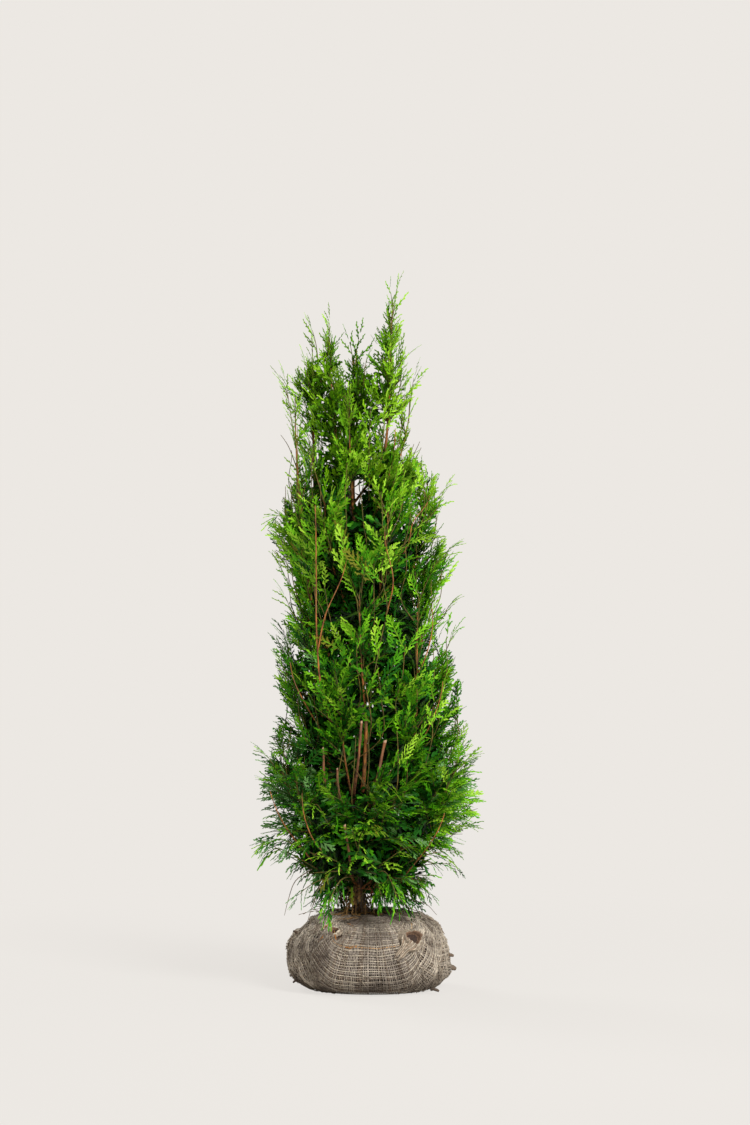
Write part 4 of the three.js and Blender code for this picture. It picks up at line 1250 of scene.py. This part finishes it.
def twigs(tier):
    """The stems, the shoots and the sprigs of one tier."""
    own = [mass for mass in masses if mass["tier"] == tier]
    share = np.linspace(0, 1, 22)
    stems = np.array([mass["line"].at(share) for mass in own])
    stem_radii = np.tile(STEM_RADIUS + (STEM_TIP_RADIUS - STEM_RADIUS) * share, (len(own), 1))
    own_shoots = [shoot for shoot in shoots if shoot["mass"]["tier"] == tier]
    ribs = np.array([rib_at(shoot, np.linspace(0, 0.94, 6)) for shoot in own_shoots])
    rib_radii = np.tile(np.linspace(RIB_RADIUS, RIB_TIP_RADIUS, 6), (len(ribs), 1))
    own_sprigs = sorted((sprig for sprig in sprigs if sprig["tier"] == tier), key=lambda sprig: sprig["bark"])
    lines = np.array([sprig["line"].at(np.linspace(0, SPRIG_BARE_TO, 20)) for sprig in own_sprigs])
    thick = np.array([sprig["thick"] for sprig in own_sprigs])[:, None] * np.linspace(1, SPRIG_TAPER, 20)
    meshes = [tubes(stems, stem_radii, 7), tubes(lines, thick, 6), tubes(ribs, rib_radii, 3)]
    corners, faces = joined(meshes)
    green_sprigs = sum(sprig["bark"] for sprig in own_sprigs) / len(own_sprigs)
    worn = np.zeros(len(faces), int)
    worn[-len(meshes[2][1]) - round(len(meshes[1][1]) * green_sprigs):] = 1
    names = [mass["name"] for mass in own]
    make_piece(f"twigs_{tier}", corners, faces, [young_bark, shoot_bark], "young_bark", names, worn)


tier_names = list(dict.fromkeys(mass["tier"] for mass in masses))
for tier in tier_names:
    twigs(tier)


# The pruned limbs. Side limbs that were cut back in the nursery stand bare in the hollow at the front. Their
# bark is a muted brown, and each ends in a pale, slanting cut.
PRUNED_LIMBS = [  # the places that each passes, in millimetres, and its radius
    ([-20, -20, 290, -26, -90, 350, -19, -125, 400, -13, -130, 478], 0.0023),
    ([-10, -20, 270, 0, -100, 320, 13, -130, 370, 28, -136, 445], 0.0027),
    ([-40, -30, 310, -70, -90, 345, -77, -124, 380, -79, -130, 432], 0.0019),
    ([-30, -30, 290, -46, -90, 330, -52, -120, 356, -55, -124, 396], 0.002),
    ([-26, -10, 190, -32, -60, 216, -35, -100, 250, -42, -120, 298], 0.0022),
]
LIMB_RINGS, LIMB_SIDES = 60, 12
LIMB_LENGTH, LIMB_RELIEF = 0.2, 0.0005  # for their bark's pattern
CUT_SLANT = 0.4


def pruned_limbs():
    meshes, worn = [], []
    for seed, (places, radius) in enumerate(PRUNED_LIMBS):

        def radius_at(share, around):
            knots = 0.25 * np.sin(share * 9 + 2 * seed) ** 10
            relief = LIMB_RELIEF * bark_relief(share, around, LIMB_LENGTH, radius, seed + 40)
            return radius * (1.2 - 0.35 * share + knots) + relief

        skin = limb_skin(Line(rows_of_three(places)), radius_at, LIMB_RINGS, LIMB_SIDES)
        skin[-1, :, 2] += CUT_SLANT * (skin[-1, :, 0] - skin[-1, :, 0].mean())
        meshes.append(capped(skin))
        faces = meshes[-1][1]
        worn.append((faces.max(1) >= (LIMB_RINGS - 1) * LIMB_SIDES).astype(int) * (faces.min(1) > 0))
    finishes = [bark_finish("pruned_bark", (70, 42, 26), (156, 98, 58), (128, 94, 68)),
                bark_finish("cut_wood", (140, 108, 84), (196, 158, 126), (178, 142, 114))]
    make_piece("pruned_limbs", *joined(meshes), finishes, "young_bark", worn=np.concatenate(worn))


pruned_limbs()


# The foliage. Flat, ferny fronds of tiny scale leaves pressed to green branchlets. A frond's rib has
# alternate side sprays, and these have fingers a few millimetres wide, all about in one plane. Growth at
# the tips is yellow-green, the inside is nearly black with painted shade, and low fronds turn their
# blue-grey side out.
FINGER_WIDTH = 0.003
FINGER_FOLD = 0.22  # how far a finger's edges hang below its middle, as a share of its width
SPRAY_GAP = 0.0118  # between side sprays on one side of a rib
FINGER_GAP = 0.0092  # between fingers on one side of a spray
# Each kind of frond: how far its sprays reach as a share of its length, the length of their fingers, its
# width of finger as a share of the usual, and how its sprays lean off the rib at its foot and tip.
FROND_KINDS = {
    "fern": {"reach": 0.3, "finger": 0.0064, "width": 1.0, "lean": (48, 30)},
    "feather": {"reach": 0.21, "finger": 0.0056, "width": 0.95, "lean": (44, 26)},
    "string": {"reach": 0.1, "finger": 0.0, "width": 0.8, "lean": (36, 20)},
    "shade": {"reach": 0.28, "finger": 0.013, "width": 1.9, "lean": (50, 34)},
}
FROND_LENGTHS = (0.04, 0.06, 0.085, 0.115)
PATTERNS_EACH = 5
FINGER_PART, TIP_PART, RIB_PART = 0, 1, 2


def blade(root, heading, length, width, curl, lift=0.0):
    """Six corners of a folded, curved finger that keeps its width nearly to the tip."""
    x = np.array([0, 0.24, 0.7, 1, 0.72, 0.26]) * length
    y = np.array([0, -0.48, -0.42, 0, 0.42, 0.5]) * width + curl * x**2 / (2 * length)
    z = lift * x - FINGER_FOLD * width * np.array([0, 1, 1, 0, 1, 1])
    return np.column_stack([*spun(x, y, heading, root), z])


def kite(root, heading, length, width, lift=0.0):
    """Four corners of a small folded finger."""
    x = np.array([0, 0.55, 1, 0.5]) * length
    y = np.array([0, -0.5, 0, 0.5]) * width
    z = lift - FINGER_FOLD * width * np.array([0, 1, 0, 1])
    return np.column_stack([*spun(x, y, heading, root), z])


def spun(x, y, heading, root):
    return (root[0] + x * math.cos(heading) - y * math.sin(heading),
            root[1] + x * math.sin(heading) + y * math.cos(heading))


BLADE_FACES = [(0, 1, 2), (0, 2, 3), (0, 3, 4), (0, 4, 5)]
KITE_FACES = [(0, 1, 2), (0, 2, 3)]


def frond_pattern(kind, length, draw):
    """One frond along +X: corners, faces, and which part of it each face is."""
    form = FROND_KINDS[kind]
    width = FINGER_WIDTH * form["width"]
    pieces = [(blade((length * at, 0), 0, length * 0.36, width * 0.9, 0), RIB_PART) for at in (0, 0.3)]
    pieces.append((blade((length * 0.6, 0), 0, length * 0.4, width * 0.85, 0), TIP_PART))
    pairs = max(3, round(length / SPRAY_GAP / (1.5 if kind == "shade" else 1)))
    for i in range(2 * pairs):
        place = (i + 0.5 + draw.uniform(-0.14, 0.14)) / (2 * pairs)
        side = 1 if i % 2 else -1
        part = TIP_PART if place > 0.6 or draw.random() < 0.12 else FINGER_PART
        foot_lean, tip_lean = form["lean"]
        heading = side * math.radians(foot_lean + (tip_lean - foot_lean) * place + draw.normal(0, 4))
        full = np.interp(place, [0, 0.12, 0.3, 0.6, 0.85, 1], [0.5, 0.9, 1, 0.78, 0.46, 0.22])
        reach = max(0.005, form["reach"] * length * full * draw.uniform(0.86, 1.1))
        root = (length * (0.06 + 0.9 * place), 0)
        curl, lift = -side * draw.uniform(0.15, 0.6), draw.uniform(-0.12, 0.22)
        pieces.append((blade(root, heading, reach, width, curl, lift), part))
        fingers = int(reach / (FINGER_GAP * form["width"])) if form["finger"] else 0
        for k in range(2 * fingers):
            at = (k + 0.9) / (2 * fingers + 0.6)
            x, y = spun(at * reach, curl * at**2 * reach / 2, heading, root)
            finger_side = 1 if k % 2 else -1
            finger_heading = heading + curl * at + finger_side * math.radians(draw.uniform(26, 38))
            size = form["finger"] * (1.1 - 0.5 * at) * draw.uniform(0.85, 1.12)
            pieces.append((kite((x, y), finger_heading, size, width * 0.9, lift * at * reach), part))
    starts = np.cumsum([0] + [len(corners) for corners, _ in pieces])
    shapes = [np.array(BLADE_FACES if len(corners) == 6 else KITE_FACES) for corners, _ in pieces]
    faces = np.concatenate([shape + start for shape, start in zip(shapes, starts)])
    parts = np.concatenate([np.full(len(shape), part) for shape, (_, part) in zip(shapes, pieces)])
    return np.concatenate([corners for corners, _ in pieces]), faces, parts, length


pattern_draw = np.random.default_rng(21)
PATTERNS = {
    (kind, size): [frond_pattern(kind, length, pattern_draw) for _ in range(PATTERNS_EACH)]
    for kind in FROND_KINDS for size, length in enumerate(FROND_LENGTHS)
}
# Each tint as a paint chart gives it, and the tints that go with it on a frond's tip and on its rib. The
# shade and deep tints are painted shade for the crown's inside, the sun tints are painted sunlight on the
# leaders, and the shaded rib is the rib's colour darkened, painted shade.
TINTS = {
    "shade": ((4, 24, 2), "deep", "painted_shade_rib"),
    "deep": ((22, 88, 4), "mid", "painted_shade_rib"),
    "mid": ((70, 142, 6), "bright", "rib"),
    "bright": ((116, 180, 22), "new", "rib"),
    "new": ((154, 202, 50), "new", "rib"),
    "sun_deep": ((70, 124, 2), "sun_mid", "painted_shade_rib"),
    "sun_mid": ((94, 150, 4), "sun_bright", "rib"),
    "sun_bright": ((122, 174, 12), "new", "rib"),
    "blue_grey": ((58, 112, 44), "pale_blue_grey", "painted_shade_rib"),
    "pale_blue_grey": ((106, 152, 84), "pale_blue_grey", "rib"),
    "olive": ((112, 116, 26), "olive", "rib"),
    "dead": ((92, 66, 38), "withered", "withered"),
    "withered": ((128, 98, 58), "withered", "withered"),
    "rusty": ((176, 112, 48), "rusty", "withered"),
    "rib": ((104, 150, 24), "rib", "rib"),
    "painted_shade_rib": ((42, 74, 8), "painted_shade_rib", "painted_shade_rib"),
}
TINT_NAMES = list(TINTS)
BY_PART = np.array([[i, TINT_NAMES.index(tip), TINT_NAMES.index(rib)]
                    for i, (_, tip, rib) in enumerate(TINTS.values())])
# The usual tints run from the painted shade of the crown's inside to the painted light at its outside.
USUAL = ["shade", "deep", "mid", "bright", "new"]
SUNLIT = ["sun_deep", "sun_deep", "sun_mid", "sun_bright", "sun_bright"]  # the leaders' lighter copies, painted sunlight, in their place
LEAF_SHEEN = 0.16


def leaf_finish(name, tint):
    """Scale leaves of one plain tint, because the tint varies from spray to spray and not within one."""
    leaf = Finish(name)
    place = leaf.place()
    scales = leaf.node("ShaderNodeTexVoronoi", {}, {"Vector": place, "Scale": 620})
    wax = leaf.grain(place, 70, 2)
    return leaf.shaded((*colour(*tint), 1), 0.5 + 0.25 * wax, scales, 0.5, 0.0005, LEAF_SHEEN)


leaf_finishes = [leaf_finish(f"leaf_{name}", tint) for name, (tint, _, _) in TINTS.items()]


BLUE_GREY_BELOW, BLUE_GREY_CHANCE, OLIVE_CHANCE = 0.46, 0.1, 0.012
TINT_STEPS = [0.52, 0.8, 1.04, 1.28]  # the scores at which the usual tints change
# The heights below which fronds are darker, painted shade under the crown, from which they get paler, painted
# light, and over how much, and of a pale band.
SHADE_PAINTED_BELOW, LIGHT_PAINTED_FROM, LIGHT_PAINTED_OVER, PALE_BAND, BAND_HALF = 0.22, 0.7, 0.25, 0.71, 0.05
# The height from which fronds take the sun tints instead, painted sunlight, and over how much all do.
SUNLIT_FROM, SUNLIT_OVER = 0.86, 0.16


def tint_of(place, lift):
    """Which tint a frond is dealt, by how far out and how high its tip stands."""
    out = min(1.0, float(outness(place)))
    height = place[2]
    chance = (0.34 if place[0] < -0.09 else BLUE_GREY_CHANCE) * (height < BLUE_GREY_BELOW)
    chance += BLUE_GREY_CHANCE if place[0] < -0.1 else 0
    if out > 0.55 and lift < 0.2 and draw.random() < chance:
        return TINT_NAMES.index("blue_grey")
    if draw.random() < OLIVE_CHANCE:
        return TINT_NAMES.index("olive")
    # Fronds further in score lower and are dealt darker tints, painted shade; those further out score higher,
    # painted light.
    score = out + lift + 0.5 * (draw.random() - 0.5) - 0.3 * (height < SHADE_PAINTED_BELOW)
    paler = 0.3 * np.clip((height - LIGHT_PAINTED_FROM) / LIGHT_PAINTED_OVER, 0, 1)
    score += paler + 0.15 * np.clip(1 - abs(height - PALE_BAND) / BAND_HALF, 0, 1)
    names = SUNLIT if draw.random() < (height - SUNLIT_FROM) / SUNLIT_OVER else USUAL
    return TINT_NAMES.index(names[np.digitize(score, TINT_STEPS)])


draw = np.random.default_rng(22)  # for every frond, in their order
FITTING_SIZES = np.array([1, 0.8, 0.62])
FIT_SAMPLES = np.array([(0.5, 0), (0.8, 0), (1, 0), (0.35, 0.24), (0.35, -0.24), (0.62, 0.18), (0.62, -0.18)])
FRONDS_PER_SHOOT, FRONDS_PER_SKIRT_SHOOT = 9, 5
# How far fronds turn up towards the light, or down by their weight.
UPRIGHT = {"skirt": -0.45, "low": 0.4, "waist": 0.65, "middle": 0.8, "upper": 0.8, "leaders_left": 0.8,
           "leaders_right": 0.8}
HANG = {"skirt": 0.3, "low": 0.25, "waist": 0.12}  # how far fronds sag by the weight of their ends
SPRIG_FROND_GAP = 0.0125
KINDS = ["fern", "feather", "string"]
# How likely each of these is on a shoot, on a leader's shoot, and near a leader's top.
LIKELY, LEADER_LIKELY, TOP_LIKELY = [0.72, 0.26, 0.02], [0.45, 0.45, 0.1], [0.1, 0.5, 0.4]
TOP_FROM = 1.06
# How many dark fronds fill the inside by each stem, a leader's stem, a sprig, a bough and the trunk; their
# dark tints are painted shade.
SHADE_BY_STEM, SHADE_BY_LEADER, SHADE_BY_SPRIG, SHADE_BY_BOUGH, SHADE_BY_TRUNK = 112, 44, 9, 30, 190
SHADE_FARTHEST_OUT = 0.78
SUN_FROM, SUN_OVER = 0.82, 0.14  # the height from which they are dealt the sun tint, painted sunlight, and over how much they all are


def columns(rows, keys):
    return (np.array([row[key] for row in rows]) for key in keys)


def frond(kind, root, way, face, length, bend, hang, tint=0.0, farthest_out=0.98):
    way = way / np.linalg.norm(way)
    face = face - way * np.dot(face, way)
    face /= np.linalg.norm(face)
    return {"kind": kind, "root": root, "along": way, "face": face, "length": length, "bend": bend,
            "hang": hang, "score": tint, "sway": draw.normal(0, 0.07),
            "farthest_out": farthest_out + 0.14 * draw.random()}


def fronds_on(shoot):
    """The fronds along a shoot, to alternate sides in its plane, and one or two on its tip."""
    is_leader = in_leader(shoot["mass"])
    likely = LIKELY
    if is_leader:
        likely = TOP_LIKELY if shoot["root"][2] > TOP_FROM else LEADER_LIKELY
    along, across, face = shoot["along"], shoot["across"], shoot["face"]
    hang = HANG.get(shoot["mass"]["tier"], 0.05) * draw.uniform(0.5, 1.5)
    fronds = []
    count = FRONDS_PER_SKIRT_SHOOT if shoot["mass"]["tier"] == "skirt" else FRONDS_PER_SHOOT
    for i in range(count):
        share = 0.08 + 0.7 * (i + draw.uniform(-0.25, 0.25)) / (count - 1)
        side = 1 if i % 2 else -1
        spread = math.radians(draw.uniform(24, 48))
        way = along * math.cos(spread) + across * side * math.sin(spread)
        way = turned(way, along, math.radians(draw.normal(0, 24)))
        way = way + [0, 0, UPRIGHT[shoot["mass"]["tier"]]]
        length = shoot["length"] * draw.uniform(0.62, 0.95) * (1 - 0.25 * share)
        kind = draw.choice(KINDS, p=likely)
        frond_face = turned(face, along, math.radians(draw.normal(0, 28)))
        root = rib_at(shoot, share)
        fronds.append(frond(kind, root, way, frond_face, length, draw.normal(0.16, 0.12), hang))
    way = along - face * TIP_DROOP * 1.3
    kind = draw.choice(["feather", "fern", "string"], p=[0.5, 0.1, 0.4] if is_leader else [0.4, 0.54, 0.06])
    length = shoot["length"] * (0.62 if kind == "string" else 0.52)
    fronds.append(frond(kind, rib_at(shoot, 0.52), way, face, length, draw.normal(0.12, 0.1), hang))
    return fronds


def fronds_up(sprig):
    """The fronds of a sprig, to alternate sides in the plane of the crown's surface, and one on its tip."""
    line = sprig["line"]
    count = round(line.length(40) * (1 - sprig["first"]) / SPRIG_FROND_GAP)
    fronds = []
    for i in range(count + 1):
        share = sprig["first"] + (0.96 - sprig["first"]) * i / count
        root, along = line.at(share), line.heading(share)
        out = root - [crown_at(root[2])[1], 0, root[2]]
        out = out / np.linalg.norm(out)
        face = np.array([0, 0, 0.5]) - out
        face -= along * np.dot(face, along)
        face = turned(face / np.linalg.norm(face), along, math.radians(draw.normal(0, 24)))
        side = 1 if i % 2 else -1
        spread = math.radians(draw.uniform(20, 40)) * (i < count)
        way = along * math.cos(spread) + np.cross(along, face) * side * math.sin(spread) + out * 0.14
        size = sprig["frond"] * (1.12 - 0.4 * share) * draw.uniform(0.8, 1.2)
        kind = draw.choice(KINDS, p=sprig["kinds"])
        bend = draw.normal(sprig["bend"], sprig["bend"] / 2)
        own = (sprig[key] for key in ("hang", "tint", "farthest"))
        fronds.append(frond(kind, root, way, face, size, bend, *own))
    return fronds


def fitted(order, fronds):
    """The fronds that fit the space of their mass, or else the crown, some of them shortened to do so."""
    root, along, face, length, bend, farthest_out = columns(
        fronds, ("root", "along", "face", "length", "bend", "farthest_out"))
    across = np.cross(face, along)
    x, y = FIT_SAMPLES[:, :1], FIT_SAMPLES[:, 1:]
    hang = np.abs(y) * WING_DROOP + x**2 * bend[:, None, None]
    spread = along[:, None] * x + across[:, None] * y - face[:, None] * hang
    sized = spread[:, None] * (length[:, None] * FITTING_SIZES)[..., None, None]
    points = root[:, None, None] + sized
    limits = np.repeat(farthest_out, points[0].size // 3)
    points = points.reshape(-1, 3)
    fine = in_sight_edge(points, limits) if order is None else owned(order, points, limits, FROND_CELL_GAP)
    fine &= ~kept_open(points)
    fine = fine.reshape(len(fronds), len(FITTING_SIZES), -1).all(2)
    return [{**each, "length": each["length"] * FITTING_SIZES[np.argmax(sizes)]}
            for each, sizes in zip(fronds, fine) if sizes.any()]


def shade_fronds(line, start, end, count):
    """Coarse dark fronds close to a stretch of a limb, which close the crown's inside where it is dense."""
    fronds = []
    for share in draw.uniform(start, end, count):
        way = draw.normal(0, 1, 3) + [0, 0, 0.6]
        face = np.cross(way, draw.normal(0, 1, 3))
        root = line.at(share)
        length = draw.uniform(0.05, 0.09)
        each = frond("shade", root, way, face, length, 0.1, 0.0)
        fronds.append({**each, "farthest_out": SHADE_FARTHEST_OUT})
    return fronds


def dealt(tier, fronds):
    """Gives each frond its pattern and tint."""
    for each in fronds:
        each["tier"] = tier
        each["size"] = int(np.argmin(np.abs(np.array(FROND_LENGTHS) - each["length"])))
        each["pattern"] = int(draw.integers(PATTERNS_EACH))
        tip = each["root"] + each["along"] * each["length"]
        # The inside's coarse fronds are dealt dark tints, painted shade, and high up the sun tint, painted
        # sunlight.
        if each["kind"] == "shade":
            name = draw.choice(["shade", "deep"], p=[0.7, 0.3])
            if draw.random() < (each["root"][2] - SUN_FROM) / SUN_OVER:
                name = "sun_deep"
            each["tint"] = TINT_NAMES.index(name)
        elif "tint" not in each:
            each["tint"] = tint_of(tip, each["score"])
    return fronds


fronds = []
for order, mass in enumerate(masses):
    grown = [each for shoot in shoots if shoot["mass"] is mass for each in fronds_on(shoot)]
    shaded = shade_fronds(mass["line"], 0, 1, SHADE_BY_LEADER if in_leader(mass) else SHADE_BY_STEM)
    fronds += dealt(mass["tier"], fitted(order, grown) + fitted(order, shaded))
for sprig in sprigs:
    fronds += dealt(sprig["tier"], fitted(None, fronds_up(sprig)))
    if sprig["tier"] != "skirt" and not in_leader(sprig):
        fronds += dealt(sprig["tier"], fitted(None, shade_fronds(sprig["line"], 0, 0.6, SHADE_BY_SPRIG)))
for name, (line, _) in boughs.items():
    tier = "waist" if "ring" in name else "upper"
    fronds += dealt(tier, fitted(None, shade_fronds(line, 0.1, 1, SHADE_BY_BOUGH)))
    if "leader" in name:
        leafy = {**SPRIG, "line": line, "frond": 0.062, "first": 0.3, "tint": 0.1, "farthest": 1.06}
        fronds += dealt(tier, fitted(None, fronds_up(leafy)) + fitted(None, fronds_up(leafy)))
fronds += dealt("middle", fitted(None, shade_fronds(trunk_line, 0.2, 1, SHADE_BY_TRUNK)))


def placed(rows, corners, pattern_length):
    """One pattern set in place for each frond of `rows`, with its tip bent over and its wings drooping."""
    root, along, face, length, bend, sway, hang = columns(
        rows, ("root", "along", "face", "length", "bend", "sway", "hang"))
    across = np.cross(face, along)
    scale = (length / pattern_length)[:, None]
    x, y, z = (corners[:, k] * scale for k in range(3))
    past = x**2 / length[:, None]
    y = y + sway[:, None] * past
    z = z - np.abs(y) * WING_DROOP - bend[:, None] * past
    x = x - 0.6 * bend[:, None] ** 2 * past
    points = root[:, None] + along[:, None] * x[..., None] + across[:, None] * y[..., None]
    points += face[:, None] * z[..., None]
    points[..., 2] -= hang[:, None] * (x**2 + 2.5 * y**2) / length[:, None]
    return points


def foliage(tier):
    """All the fronds of one tier as one mesh."""
    meshes, worn = [], []
    for (kind, size), patterns in PATTERNS.items():
        for number, (corners, faces, parts, length) in enumerate(patterns):
            rows = [each for each in fronds if each["tier"] == tier and each["kind"] == kind
                    and each["size"] == size and each["pattern"] == number]
            if not rows:
                continue
            all_faces = faces + (np.arange(len(rows)) * len(corners))[:, None, None]
            meshes.append((placed(rows, corners, length).reshape(-1, 3), all_faces.reshape(-1, 3)))
            worn += [BY_PART[row["tint"]][parts] for row in rows]
    names = [mass["name"] for mass in masses if mass["tier"] == tier]
    corners, faces = joined(meshes)
    make_piece(f"sprays_{tier}", corners, faces, leaf_finishes, "foliage", names, np.concatenate(worn))


for tier in tier_names:
    foliage(tier)


# The litter. Dead brown sprays caught round the foot of the trunk and on top of the wrap, with the bare ends
# of low twigs that have died back and hang over the ball.
LITTER_SPRAYS, HANGING_SPRAYS = 90, 60
# Dead twigs that show against the light, as the places they pass in millimetres.
BARE_TWIGS = [
    [-100, -60, 215, -128, -70, 196, -140, -75, 165, -147, -80, 137],
    [-60, -70, 205, -84, -90, 190, -98, -100, 155, -107, -104, 128],
    [50, -50, 170, 78, -70, 162, 100, -76, 156, 118, -80, 138],
    [40, -60, 180, 70, -80, 150, 92, -86, 143, 112, -90, 128],
    [-40, -30, 180, -60, -50, 160, -72, -60, 150, -85, -66, 134],
    [20, -30, 190, 36, -50, 170, 46, -56, 152, 50, -60, 136],
]
TWIG_CLUSTER, CLUSTER_COUNT = (0.006, -0.05, 0.178), 16  # a broken twig's reddish stubs, beside the trunk
# Dry sprays caught in the weave, as turn, height, length and how far round from level they lie.
CAUGHT_SPRAYS = [
    (234, 0.124, 0.024, 200), (237, 0.113, 0.02, 290), (231, 0.106, 0.018, 240), (256, 0.088, 0.02, 10),
    (258, 0.085, 0.016, 170), (322, 0.124, 0.02, 120), (246, 0.124, 0.02, 330),
]


def litter():
    draw = np.random.default_rng(23)
    dead = [TINT_NAMES.index(name) for name in ("dead", "withered", "olive")]
    grown = []
    for i in range(LITTER_SPRAYS + HANGING_SPRAYS):
        turn, away = draw.uniform(0, 360), draw.uniform(0.014, 0.085)
        way = outward(turn + draw.normal(0, 70)) + [0, 0, draw.normal(0.05, 0.1)]
        root = np.array(TRUNK_FOOT) + outward(turn) * away + [0, 0, draw.uniform(0.001, 0.007)]
        if i >= LITTER_SPRAYS:
            root = trunk_at(draw.uniform(0.15, 0.19)) + outward(turn) * away * 0.5
            way = outward(turn) * draw.uniform(0.1, 0.7) - [0, 0, 1]
        face = np.array([0, 0, 1]) + draw.normal(0, 0.25, 3) + outward(turn) * (i >= LITTER_SPRAYS)
        kind = draw.choice(["feather", "string", "shade"], p=[0.5, 0.3, 0.2])
        length = draw.uniform(0.018, 0.042)
        each = frond(kind, root, way, face, length, draw.normal(0.1, 0.1), 0.0)
        each["tint"] = int(draw.choice(dead, p=[0.5, 0.35, 0.15]))
        grown.append(each)
    for turn, height, length, angle in CAUGHT_SPRAYS:
        here, out, along, up = beside(turn, height)
        way = along * math.cos(math.radians(angle)) + up * math.sin(math.radians(angle))
        each = frond("feather", here + out * 0.003, way, out, length, 0.2, 0.0)
        grown.append({**each, "tint": TINT_NAMES.index("rusty")})
    for each in grown:
        each.update(tier="litter", pattern=int(draw.integers(PATTERNS_EACH)), size=0)
    return grown


def bare_twigs():
    share = np.linspace(0, 1, 16)
    lines = [Line(rows_of_three(places)).at(share) for places in BARE_TWIGS]
    draw = np.random.default_rng(24)
    for _ in range(CLUSTER_COUNT):
        way = draw.normal(0, 1, 3) * [1, 0.6, 1]
        middle = np.array(TWIG_CLUSTER) + way * 0.004
        end = middle + way * 0.005 + draw.normal(0, 0.002, 3)
        lines.append(Line([TWIG_CLUSTER, middle, end]).at(share))
    thick = np.array([0.0011] * len(BARE_TWIGS) + [0.0008] * CLUSTER_COUNT)
    corners, faces = tubes(np.array(lines), thick[:, None] * np.linspace(1, 0.35, len(share)), 5)
    is_cluster = np.arange(len(faces)) >= len(faces) * len(BARE_TWIGS) / len(lines)
    bark = [bark_finish("dead_bark", (66, 56, 46), (140, 122, 100), (120, 112, 98)),
            bark_finish("red_twig", (96, 44, 26), (176, 92, 56), (130, 84, 60))]
    make_piece("dead_twigs", corners, faces, bark, "young_bark", worn=is_cluster.astype(int))


fronds = litter()
foliage("litter")
bare_twigs()
